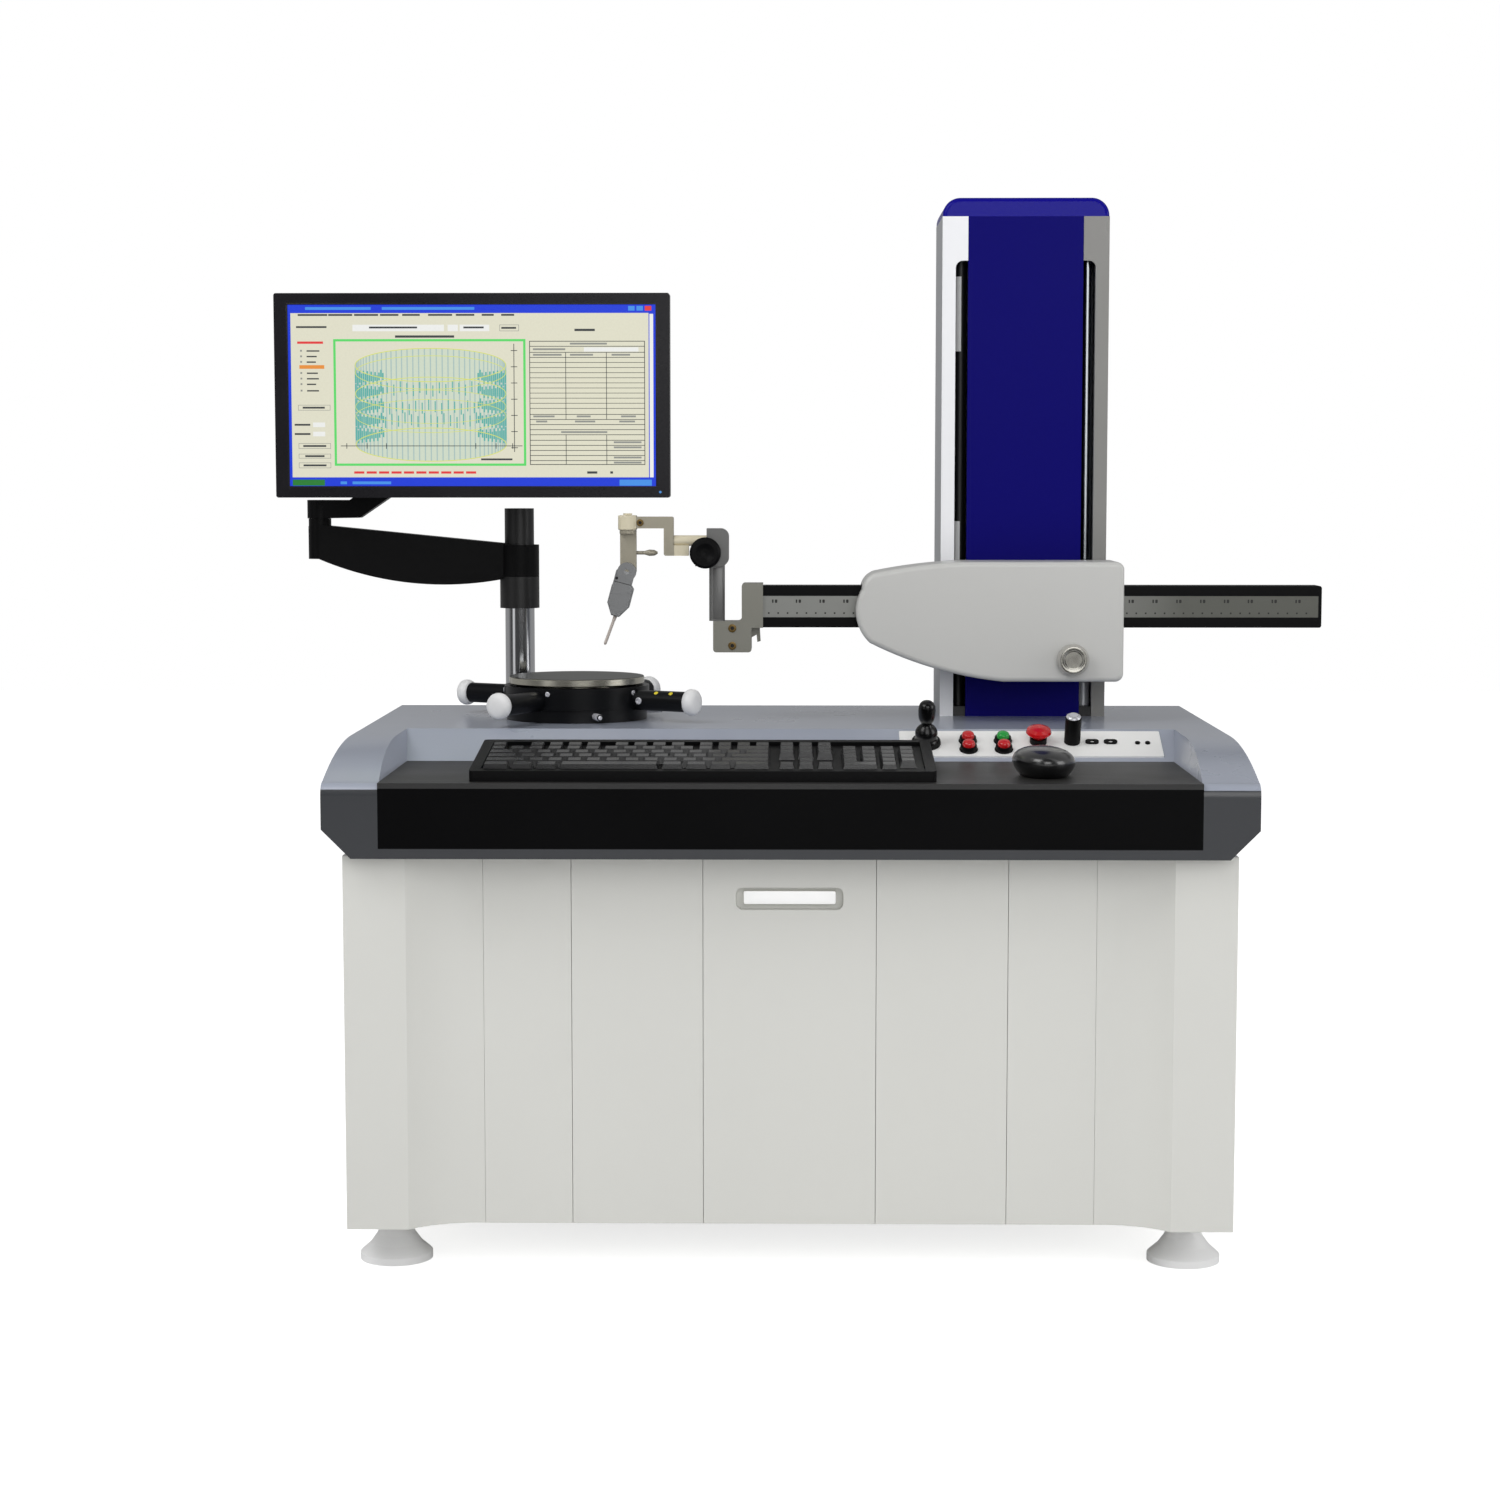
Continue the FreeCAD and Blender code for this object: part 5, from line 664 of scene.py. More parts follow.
dress(white_nylon, "centering_knob_x", "centering_knob_y", "levelling_knob_x",
      "levelling_knob_y")
dress(button_red, "button_upper_left", "button_lower_left", "button_lower_right", "stop_mushroom")
dress(button_green, "button_upper_right")
dress(case_grey, "computer")
dress(knob_grey, "arm_lock_knob")
undressed = [name for name, node in nodes.items() if not node.material_slots[0].material]
print("finishes:", len(bpy.data.materials), "undressed nodes:", undressed)

# %% [markdown]
# ## Helpers for new pieces
#
# Small parts are modelled as by hand: a primitive is added, shaped in edit mode and placed. Three
# helpers cover most of them. A turned part starts as a disc that is pushed out and resized ring by
# ring, like work on a lathe. A plate starts as a cube whose upright edges are bevelled to round
# corners. A copy takes its own mesh, so that each piece can be placed by itself.

# %% Turned parts, rounded blocks and copies
BEVEL_LIMIT = math.radians(30.0)
SMOOTH_LIMIT = math.radians(40.0)


def alone(piece):
    """Selects one piece and nothing else, and makes it the active one."""
    bpy.ops.object.select_all(action="DESELECT")
    piece.select_set(True)
    bpy.context.view_layer.objects.active = piece


def apply_place(piece):
    """Moves a piece's place, turn and scale into its mesh."""
    alone(piece)
    bpy.ops.object.transform_apply(location=True, rotation=True, scale=True)


def smooth(piece):
    """Shades a piece smooth, with its sharp edges kept."""
    alone(piece)
    bpy.ops.object.shade_smooth_by_angle(angle=SMOOTH_LIMIT)


def turned(profile, place, axis, sides=40):
    """A turned part from (radius, height) points, standing on a place along an axis."""
    bpy.ops.object.select_all(action="DESELECT")
    radius, height = profile[0]
    bpy.ops.mesh.primitive_circle_add(vertices=sides, radius=radius, fill_type="NGON",
                                      location=(0.0, 0.0, height))
    piece = bpy.context.object
    bpy.ops.object.mode_set(mode="EDIT")
    bpy.ops.mesh.select_all(action="SELECT")
    for next_radius, next_height in profile[1:]:
        rise = (0.0, 0.0, next_height - height)
        bpy.ops.mesh.extrude_region_move(TRANSFORM_OT_translate={"value": rise})
        share = next_radius / radius
        bpy.ops.transform.resize(value=(share, share, 1.0), center_override=(0.0, 0.0, next_height))
        radius, height = next_radius, next_height
    bpy.ops.mesh.select_all(action="SELECT")
    bpy.ops.mesh.normals_make_consistent(inside=False)
    bpy.ops.object.mode_set(mode="OBJECT")
    apply_place(piece)
    piece.rotation_euler = Vector(axis).to_track_quat("Z", "Y").to_euler()
    piece.location = place
    apply_place(piece)
    smooth(piece)
    return piece


def select_edges(piece, wanted):
    """In edit mode, selects the edges that a test on their two end points picks."""
    bpy.ops.object.mode_set(mode="EDIT")
    bpy.ops.mesh.select_mode(type="EDGE")
    bpy.ops.mesh.select_all(action="DESELECT")
    bpy.ops.object.mode_set(mode="OBJECT")
    points = piece.data.vertices
    for edge in piece.data.edges:
        a, b = (points[i].co for i in edge.vertices)
        edge.select = wanted(a, b)
    bpy.ops.object.mode_set(mode="EDIT")


def rounded_block(low, high, corner=0.0, along=1, edge=0.0, steps=5):
    """A block from its two corners, with round corners along one axis and softened edges."""
    low, high = Vector(low), Vector(high)
    bpy.ops.object.select_all(action="DESELECT")
    bpy.ops.mesh.primitive_cube_add(size=1.0, location=(low + high) / 2)
    piece = bpy.context.object
    piece.scale = high - low
    apply_place(piece)
    if corner:
        select_edges(piece, lambda a, b: abs((a - b).normalized()[along]) > 0.9)
        bpy.ops.mesh.bevel(offset=corner, segments=steps)
        bpy.ops.object.mode_set(mode="OBJECT")
    if edge:
        soften(piece, edge)
    smooth(piece)
    return piece


def soften(piece, width, segments=2):
    """Bevels a piece's sharp edges with a modifier that is applied at once."""
    alone(piece)
    bevel = piece.modifiers.new("soft_edges", "BEVEL")
    bevel.width = width
    bevel.segments = segments
    bevel.limit_method = "ANGLE"
    bevel.angle_limit = BEVEL_LIMIT
    bpy.ops.object.modifier_apply(modifier=bevel.name)


def copied(piece, matrix):
    """A copy of a piece with its own mesh, moved by a matrix."""
    twin = piece.copy()
    twin.data = piece.data.copy()
    twin.data.transform(matrix)
    scene.collection.objects.link(twin)
    return twin


def joined(parts):
    """Joins pieces into the first of them."""
    bpy.ops.object.select_all(action="DESELECT")
    for part in parts:
        part.select_set(True)
    bpy.context.view_layer.objects.active = parts[0]
    if len(parts) > 1:
        bpy.ops.object.join()
    return bpy.context.object


def mount(piece, name, body, surface):
    """Names a finished piece, gives it its finish, and lets it ride on its body."""
    piece.name = name
    piece.data.name = name
    piece.data.materials.clear()
    piece.data.materials.append(surface)
    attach(piece, body)
    return piece


def cut_away(piece, tool):
    """Cuts one piece by another and deletes the tool."""
    alone(piece)
    cutter = piece.modifiers.new("cut", "BOOLEAN")
    cutter.operation = "DIFFERENCE"
    cutter.object = tool
    cutter.solver = "EXACT"
    bpy.ops.object.modifier_apply(modifier=cutter.name)
    bpy.data.objects.remove(tool)
    return piece


def socket_screw(radius, head, place, axis):
    """A cap screw: a turned head with a soft rim and a shallow round socket."""
    profile = [(radius, 0.0), (radius, head * 0.8), (radius * 0.9, head), (radius * 0.58, head),
               (radius * 0.55, head * 0.35)]
    return turned(profile, place, axis, sides=24)


X = Vector((1.0, 0.0, 0.0))
Y = Vector((0.0, 1.0, 0.0))
Z = Vector((0.0, 0.0, 1.0))

# %% [markdown]
# ## The screen
#
# The monitor shows a measuring program: a royal blue frame, a cream window, a wire cylinder in
# teal and yellow inside a bright green frame, and tables at the right. It is laid out here as thin
# glowing tiles in places counted on a grid from the screen's top left corner, with bars where a
# program would have words. One lit finish per colour carries a faint pixel grain.

# %% Lit finishes
DARK_GLASS = (0.02, 0.02, 0.02, 1.0)


def lit(name, colour, strength=0.9):
    """A screen colour: it glows by itself and has a weak matt reflection."""
    made = finish(name, colour, 0.35, mottle=0.02, mottle_size=400.0, specular=0.15, glow=strength)
    tree = made.node_tree
    base = tree.nodes["Principled BSDF"].inputs["Base Color"]
    for link in list(base.links):
        tree.links.remove(link)
    base.default_value = DARK_GLASS
    return made


SCREEN_TONES = {"blue": (16, 58, 224), "cream": (232, 230, 208), "white": (246, 247, 244),
                "green": (96, 226, 110), "ink": (60, 64, 66), "grey": (150, 152, 146),
                "red": (236, 60, 62), "orange": (240, 150, 60), "start": (34, 128, 48),
                "teal": (96, 182, 172), "yellow": (226, 232, 104), "violet": (176, 200, 196),
                "pale_blue": (70, 150, 240), "wash": (214, 226, 206)}
screen_finish = {name: lit("screen_" + name, tone(*colour)) for name, colour in SCREEN_TONES.items()}

# %% [markdown]
# A tile starts as a plane that is stood up, resized and pushed out by a tenth of a millimetre.
# The tiles of one set are added to one mesh in edit mode. Each layer lies a little in front of
# the one before it, so that no two faces share a place.

# %% Tiles on the screen's grid
GRID_WIDE, GRID_HIGH = 795.0, 392.0
TILE_STEP = 0.00012
TILE_DEPTH = TILE_STEP * 0.9
screen_low, screen_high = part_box("monitor_screen")
SCREEN_LEFT, SCREEN_FACE, SCREEN_TOP = screen_low.x, screen_low.y, screen_high.z
screen_wide = screen_high.x - screen_low.x
screen_tall = screen_high.z - screen_low.z


def on_screen(x, y, layer):
    """A point of the screen from its grid place, counted from the top left."""
    return Vector((SCREEN_LEFT + x / GRID_WIDE * screen_wide, SCREEN_FACE - layer * TILE_STEP,
                   SCREEN_TOP - y / GRID_HIGH * screen_tall))


def tiles(name, areas, layer, colour):
    """One mesh of thin tiles, each area as (left, top, right, bottom) on the screen's grid."""
    bpy.ops.object.select_all(action="DESELECT")
    bpy.ops.mesh.primitive_plane_add(size=1.0, location=(0.0, 0.0, 0.0))
    piece = bpy.context.object
    bpy.ops.object.mode_set(mode="EDIT")
    bpy.ops.mesh.delete(type="VERT")
    for left, top, right, bottom in areas:
        a = on_screen(left, top, layer)
        b = on_screen(right, bottom, layer)
        middle = (a + b) / 2
        bpy.ops.mesh.primitive_plane_add(size=1.0, location=middle, rotation=(math.pi / 2, 0.0, 0.0))
        bpy.ops.transform.resize(value=(b.x - a.x, 1.0, a.z - b.z), center_override=middle)
        bpy.ops.mesh.select_all(action="DESELECT")
    bpy.ops.mesh.select_all(action="SELECT")
    bpy.ops.mesh.extrude_region_move(TRANSFORM_OT_translate={"value": (0.0, TILE_DEPTH, 0.0)})
    bpy.ops.mesh.select_all(action="SELECT")
    bpy.ops.mesh.normals_make_consistent(inside=False)
    bpy.ops.object.mode_set(mode="OBJECT")
    apply_place(piece)
    return mount(piece, name, "monitor", screen_finish[colour])


def outline(x0, y0, x1, y1, line):
    """Four thin areas round a rectangle."""
    return [(x0, y0, x1, y0 + line), (x0, y1 - line, x1, y1),
            (x0, y0 + line, x0 + line, y1 - line), (x1 - line, y0 + line, x1, y1 - line)]


def shrunk(areas, line):
    """The same areas with a line's width taken off each side."""
    return [(x0 + line, y0 + line, x1 - line, y1 - line) for x0, y0, x1, y1 in areas]


# %% [markdown]
# The blue frame is the lowest layer. The window and its keys lie on it, then the white fields and
# the grey keys, and a smaller cream face on each key leaves a thin grey line round it.

# %% Window frame, fields and keys
WINDOW_LAYER, FIELD_LAYER, FACE_LAYER, BAR_LAYER = 2, 3, 4, 5
tiles("screen_frame", [(0, 0, GRID_WIDE, GRID_HIGH)], 1, "blue")
tiles("screen_window", [(6, 18, 780, 373)], WINDOW_LAYER, "cream")
tiles("screen_start_key", [(6, 378, 76, 391)], WINDOW_LAYER, "start")
tiles("screen_tray", [(716, 378, 786, 391)], WINDOW_LAYER, "pale_blue")
tiles("screen_close_key", [(772, 3, 786, 13)], WINDOW_LAYER, "red")
tiles("screen_edge_keys", [(736, 3, 750, 13), (754, 3, 768, 13)], WINDOW_LAYER, "pale_blue")
fields = [(140, 43, 338, 57), (346, 43, 368, 57), (372, 43, 436, 57), (52, 254, 78, 264),
          (52, 274, 78, 284), (640, 92, 758, 101), (782, 20, 790, 373)]
tiles("screen_fields", fields, FIELD_LAYER, "white")
keys = [(458, 43, 500, 57), (20, 216, 90, 228), (20, 299, 90, 311), (20, 322, 90, 332),
        (20, 341, 90, 353)]
tiles("screen_keys", keys, FIELD_LAYER, "grey")
tiles("screen_key_faces", shrunk(keys, 1), FACE_LAYER, "cream")
print("fields:", len(fields), "keys:", len(keys))

# %% [markdown]
# Bars stand where the program would have words: a row for its menu, a list at the left with one
# line marked in orange, and a red row under the cylinder.

# %% Bars in place of words
MENU_BARS = ((22, 86), (88, 140), (144, 196), (200, 240), (248, 286), (304, 356), (364, 404),
             (420, 446), (462, 490))
LIST_BARS = ((98, 68), (110, 62), (122, 60), (146, 64), (158, 66), (170, 60), (184, 66))
bars = [(x0, 20, x1, 24) for x0, x1 in MENU_BARS]
bars += [(18, 46, 84, 50), (232, 66, 360, 71), (620, 52, 664, 57), (176, 47, 280, 51),
         (380, 47, 424, 51), (462, 48, 494, 52), (646, 360, 668, 365), (696, 360, 702, 365)]
bars += [(40, y, x1, y + 3) for y, x1 in LIST_BARS]
bars += [(30, 220, 78, 224), (12, 257, 46, 261), (12, 277, 46, 281), (30, 303, 80, 307),
         (34, 325, 76, 329), (30, 345, 80, 349), (416, 332, 484, 336)]
tiles("screen_bars", bars, BAR_LAYER, "ink")
tiles("screen_head_bars", [(38, 5, 180, 11), (204, 5, 404, 11), (110, 382, 124, 388),
                           (136, 382, 220, 388)], WINDOW_LAYER, "pale_blue")
tiles("screen_choice", [(24, 130, 78, 138)], FIELD_LAYER, "orange")
red_bars = [(20, 79, 76, 84)] + [(x, 360, x + 22, 365) for x in range(140, 400, 27)]
tiles("screen_red_bars", red_bars, FACE_LAYER, "red")
tiles("screen_points", [(26, y - 1, 30, y + 3) for y, _ in LIST_BARS], FACE_LAYER, "grey")
print("bars:", len(bars) + len(red_bars))

# %% [markdown]
# Two ruled tables share one outline. Their rows are thin lines from side to side, and two uprights
# divide the columns.

# %% Tables at the right
TABLE_LEFT, TABLE_RIGHT, TABLE_TOP, TABLE_END = 522, 772, 78, 346
HEAD_ROWS = (89, 102, 113)
MIDDLE_ROWS = range(124, 226, 11)
END_ROWS = (236, 247, 258, 269, 280, 292, 303, 314, 325, 336)
table_lines = outline(TABLE_LEFT, TABLE_TOP, TABLE_RIGHT, TABLE_END, 1.6)
for rows, line in ((HEAD_ROWS, 1.4), (MIDDLE_ROWS, 1.2), (END_ROWS, 1.4)):
    table_lines += [(TABLE_LEFT, row, TABLE_RIGHT, row + line) for row in rows]
for column in (600, 688):
    table_lines += [(column, 102, column + 1.4, 247), (column, 280, column + 1.4, TABLE_END)]
tiles("screen_table_lines", table_lines, FACE_LAYER, "ink")
TABLE_BARS = ((610, 690, 82), (530, 600, 94), (530, 592, 106), (610, 660, 106), (700, 740, 106),
              (530, 576, 239), (624, 654, 239), (720, 752, 239), (536, 560, 250), (620, 664, 250),
              (716, 750, 250), (590, 690, 273), (704, 764, 295), (704, 764, 306), (704, 764, 328),
              (704, 764, 339))
tiles("screen_table_bars", [(x0, y, x1, y + 4) for x0, x1, y in TABLE_BARS], BAR_LAYER, "grey")
print("table lines:", len(table_lines))

# %% [markdown]
# The wire cylinder is a set of upright lines over a pale wash. Both are strips that reach from its
# far rim to its near rim, and the measured trace is a set of short teal lines, crowded at the sides.

# %% Wire cylinder and its frame
CYLINDER_MIDDLE, CYLINDER_HALF = 308.0, 163.0
RIM_HALF, RIM_TOP_Y, RIM_END_Y = 36.0, 130, 302
WIRE_STEPS = 40
WIRE_LAYER, TRACE_LAYER, RING_LAYER, TICK_LAYER = 5, 6, 7, 8
tiles("screen_green_frame", outline(98, 74, 514, 348, 5.0), WIRE_LAYER, "green")


def across_cylinder(count):
    """The grid place of a wire, with the wires spread evenly round the cylinder."""
    return CYLINDER_MIDDLE - CYLINDER_HALF * math.cos(math.pi * count / WIRE_STEPS)


def cylinder_strip(left, right, count):
    """An upright strip between the cylinder's far rim above and its near rim below."""
    bulge = RIM_HALF * math.sin(math.pi * count / WIRE_STEPS)
    return (left, RIM_TOP_Y - bulge, right, RIM_END_Y + bulge)


wash = [cylinder_strip(across_cylinder(count), across_cylinder(count + 1), count + 0.5)
        for count in range(WIRE_STEPS)]
wires = [cylinder_strip(across_cylinder(count) - 1.3, across_cylinder(count) + 1.3, count)
         for count in range(WIRE_STEPS + 1)]
trace = []
for side in (-1, 1):
    for count in range(15):
        x = CYLINDER_MIDDLE + side * (CYLINDER_HALF - 1 - count * 4.2)
        for step in range(5):
            top = 140 + step * 31 + (count * 7) % 13
            trace.append((x - 1.7, top, x + 1.7, top + 29 - count))
for count in range(46):
    x = 200 + count * 4.7
    top = (164, 204, 232)[count % 3] + (count * 5) % 11
    trace.append((x - 1.2, top, x + 1.2, top + 24))
tiles("screen_wash", wash, FACE_LAYER, "wash")
tiles("screen_wires", wires, WIRE_LAYER, "violet")
tiles("screen_trace", trace, TRACE_LAYER, "teal")
print("wires:", len(wires), "trace lines:", len(trace))

# %% [markdown]
# The rings are curve circles with a thin round section, turned into meshes and flattened against
# the glass. A scale with ticks stands at the right and another lies along the foot.

# %% Rings and scale of the cylinder
RING_FLATNESS = 0.15
RINGS = ((130, 0.0009), (146, 0.0007), (192, 0.0008), (220, 0.0006), (240, 0.0006), (302, 0.0009))


def ellipse(name, y, line):
    """A flat ring round the cylinder, from a curve circle with a round section."""
    bpy.ops.object.select_all(action="DESELECT")
    middle = on_screen(CYLINDER_MIDDLE, y, RING_LAYER)
    bpy.ops.curve.primitive_bezier_circle_add(radius=1.0, location=middle,
                                              rotation=(math.pi / 2, 0.0, 0.0))
    ring = bpy.context.object
    ring.scale = (CYLINDER_HALF / GRID_WIDE * screen_wide, RIM_HALF / GRID_HIGH * screen_tall, 1.0)
    apply_place(ring)
    ring.data.bevel_depth = line
    ring.data.bevel_resolution = 1
    ring.data.resolution_u = 16
    bpy.ops.object.convert(target="MESH")
    ring = bpy.context.object
    flat = Matrix.Translation(Vector((0.0, middle.y, 0.0))) @ Matrix.Scale(RING_FLATNESS, 4, Y)
    ring.data.transform(flat @ Matrix.Translation(Vector((0.0, -middle.y, 0.0))))
    return mount(ring, name, "monitor", screen_finish["yellow"])


for number, (y, line) in enumerate(RINGS):
    ellipse("screen_ring_%d" % number, y, line)
ticks = [(488, 84, 489.6, 318), (112, 304, 506, 305.6)]
ticks += [(482, y, 496, y + 1.6) for y in range(98, 318, 35)]
ticks += [(x, 299, x + 1.6, 311) for x in (124, 168, 210, 404, 448, 484)]
tiles("screen_scale", ticks, TICK_LAYER, "ink")
print("colours on the screen:", len(SCREEN_TONES), "rings:", len(RINGS))

# %% [markdown]
# ## The monitor's trim
#
# A real bezel steps down to the glass in a narrow lip, and its back has rows of vent slots. The lip
# is four slim bars with softened edges, and the slots are one slim bar copied along two rows.

# %% Bezel lip, lamp and vents
LIP_WIDTH, LIP_DEPTH = 0.0022, 0.0011
lip_right, lip_bottom = screen_wide + LIP_WIDTH, screen_tall + LIP_WIDTH
LIP_BARS = ((-LIP_WIDTH, -LIP_WIDTH, lip_right, 0.0), (-LIP_WIDTH, screen_tall, lip_right, lip_bottom),
            (-LIP_WIDTH, 0.0, 0.0, screen_tall), (screen_wide, 0.0, lip_right, screen_tall))
lip_parts = [rounded_block((SCREEN_LEFT + left, SCREEN_FACE - LIP_DEPTH, SCREEN_TOP - bottom),
                           (SCREEN_LEFT + right, SCREEN_FACE, SCREEN_TOP - top), edge=0.0005)
             for left, top, right, bottom in LIP_BARS]
mount(joined(lip_parts), "screen_lip", "monitor", monitor_black)
case_low, case_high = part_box("monitor_housing")
lamp_glow = lit("lamp_glow", tone(90, 170, 255), 0.6)
LAMP_LENS = [(0.0016, 0.0), (0.0016, 0.0003), (0.0010, 0.0006)]
LAMP_FROM_RIGHT, LAMP_UP = 0.012, 0.007
lamp_place = (case_high.x - LAMP_FROM_RIGHT, case_low.y, case_low.z + LAMP_UP)
mount(turned(LAMP_LENS, lamp_place, -Y, sides=20), "monitor_power_lamp", "monitor", lamp_glow)
MONITOR_BACK = case_low.y + 0.030
VENT_COUNT, VENT_STEP, VENT_START = 46, 0.0070, 0.088
VENT_WIDE, VENT_TALL = 0.0026, 0.022
VENT_ROWS = (case_high.z - 0.052, case_low.z + 0.030)
# The slots are dark bars laid on the case rather than openings: their black is painted shade of the vent
# holes.
first_slot = rounded_block((0.0, MONITOR_BACK - 0.0006, 0.0),
                           (VENT_WIDE, MONITOR_BACK + 0.0004, VENT_TALL), corner=0.0012)
slots = [copied(first_slot, Matrix.Translation((case_low.x + VENT_START + count * VENT_STEP, 0.0, z)))
         for z in VENT_ROWS for count in range(VENT_COUNT)]
bpy.data.objects.remove(first_slot)
mount(joined(slots), "monitor_vents", "monitor", black_rubber)
print("vent slots:", VENT_COUNT * len(VENT_ROWS))

# %% [markdown]
# ## Brass and bright fasteners
#
# Two brass screws close the bracket at the arm's end, and a third clamps the crank's round head.
# Each is a cap screw seen from the front: a turned head with a socket, modelled at its size and
# turned towards the front of the machine.

# %% Screws of the arm and probe
brass = finish("brass", tone(118, 96, 54), 0.34, metal=0.7, mottle=0.12, mottle_size=120.0,
               grain_size=2400.0, grain_depth=0.00002)
bright_steel = finish("bright_steel", tone(216, 216, 222), 0.26, metal=0.4, mottle=0.05,
                      mottle_size=60.0)
SCREW_HEAD = 0.0012
BRACKET_SCREW_RADIUS, BRACKET_SOCKET_RADIUS = 0.0050, 0.0024
CRANK_SCREW_RADIUS, CRANK_SOCKET_RADIUS = 0.0044, 0.0021
bracket_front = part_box("arm_end_bracket")[0][1]
BRACKET_SEATS = [Vector((-0.0705, bracket_front, z)) for z in (0.6812, 0.7026)]
CRANK_SEAT = Vector((-0.1835, 0.0940, 0.8310))


def socket_floor(radius, place):
    """A dark six-sided disc in a screw's socket, seen from the front: painted shade of the deep socket.
    """
    return turned([(radius, 0.0), (radius, 0.0002), (0.0010, 0.0003)], place, -Y, sides=6)


bracket_screws = [socket_screw(BRACKET_SCREW_RADIUS, SCREW_HEAD, seat - Y * 0.0001, -Y)
                  for seat in BRACKET_SEATS]
mount(joined(bracket_screws), "bracket_screws", "arm", brass)
crank_screw = socket_screw(CRANK_SCREW_RADIUS, SCREW_HEAD, CRANK_SEAT + Y * 0.0001, -Y)
mount(crank_screw, "crank_head_screw", "probe_crank", brass)
# The discs in the sockets are painted shade of the deep sockets; the same dark finish also colours the
# sensor's joint line and its small screw.
socket_shade_and_dark_joint = finish("socket_shade_and_dark_joint", tone(10, 10, 9), 0.6, mottle=0.10)
hole_bottoms = [socket_floor(BRACKET_SOCKET_RADIUS, seat - Y * 0.0006) for seat in BRACKET_SEATS]
mount(joined(hole_bottoms), "bracket_screw_sockets", "arm", socket_shade_and_dark_joint)
crank_hole = socket_floor(CRANK_SOCKET_RADIUS, CRANK_SEAT - Y * 0.0004)
mount(crank_hole, "crank_screw_socket", "probe_crank", socket_shade_and_dark_joint)
print("brass screws:", len(BRACKET_SEATS) + 1)

# %% [markdown]
# ## The arm's scale
#
# The steel strip let into the arm carries an engraved scale: small marks along its lower edge and
# pairs of larger ones along its upper edge. A mark is a thin plate with softened edges that is
# modelled once for each row and copied along the arm.

# %% Graduations
engraving = finish("engraving", tone(30, 30, 29), 0.5, mottle=0.10)
scale_low, scale_high = (Vector(corner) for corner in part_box("arm_scale"))
MARK_PROUD = 0.00005


def scale_mark(width, height):
    """One engraved mark whose lower left corner is at the origin."""
    return rounded_block((0.0, scale_low.y - MARK_PROUD, 0.0), (width, scale_low.y + MARK_PROUD, height),
                         corner=width * 0.3, steps=2)


def row_of_marks(mark, first, last, step, z):
    """Copies a mark along the arm and deletes the first one."""
    row = []
    place = first
    while place < last:
        row.append(copied(mark, Matrix.Translation((place, 0.0, z))))
        place += step
    bpy.data.objects.remove(mark)
    return row


LOWER_UP, UPPER_DOWN = 0.0040, 0.0085
LOWER_STEP, UPPER_STEP = 0.0115, 0.0290
UPPER_START, PAIR_GAP = 0.011, 0.0035
upper_z = scale_high.z - UPPER_DOWN
upper_start, upper_end = scale_low.x + UPPER_START, scale_high.x - 0.010
lower_row = row_of_marks(scale_mark(0.0021, 0.0021), scale_low.x + 0.006, scale_high.x - 0.004,
                         LOWER_STEP, scale_low.z + LOWER_UP)
upper_row = row_of_marks(scale_mark(0.0019, 0.0042), upper_start, upper_end, UPPER_STEP, upper_z)
upper_row += row_of_marks(scale_mark(0.0030, 0.0042), upper_start + PAIR_GAP, upper_end, UPPER_STEP,
                          upper_z)
mark_count = len(lower_row) + len(upper_row)
mount(joined(lower_row + upper_row), "scale_graduations", "arm", engraving)
print("marks on the scale:", mark_count)

# %% [markdown]
# ## Caps, dots and pegs of the worktable
#
# The four adjusting knobs end in white balls of nylon that are wider than their barrels. Each ball
# is turned on its stem in one go and replaces the plain cap. The pegs in the base ring are bright
# steel pins, and two yellow index dots sit on top of the front barrel, near its steel screw.

# %% Axes of the worktable
STAGE_CENTRE = Vector((SPINDLE_X, SPINDLE_Y, 0.0))
KNOB_HEIGHT = 0.614
KNOB_TURNS = {"centering_knob_x": -29.5, "centering_knob_y": 60.5, "levelling_knob_x": 150.5,
              "levelling_knob_y": 240.5}


def outward(angle):
    """The level direction at an angle in degrees round the spindle."""
    turn = math.radians(angle)
    return Vector((math.cos(turn), math.sin(turn), 0.0))


print("first barrel points to", outward(KNOB_TURNS["centering_knob_x"]))


# %% [markdown]
# A ball's profile starts with its thin stem, which reaches into the barrel, and then swells to the
# ball. The knobs turn by themselves, so each ball rides on its own knob.

# %% White knobs
STEM_START = 0.0835
BALL = [(0.0040, 0.0), (0.0040, 0.0770), (0.0128, 0.0770), (0.0146, 0.0785), (0.0158, 0.0812),
        (0.0161, 0.0840), (0.0158, 0.0866), (0.0147, 0.0892), (0.0128, 0.0910), (0.0098, 0.0922),
        (0.0055, 0.0928), (0.0010, 0.0930)]
for knob, angle in KNOB_TURNS.items():
    place = STAGE_CENTRE + outward(angle) * STEM_START + Z * KNOB_HEIGHT
    ball = mount(turned(BALL, place, outward(angle)), knob + "_ball", knob, white_nylon)
    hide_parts(knob)
print("white knobs:", len(KNOB_TURNS))

# %% [markdown]
# The pegs stand out of the ring between the barrels. The dots and the larger screw sit on the
# skin of the front barrel, and the small screws on the drum's wall.

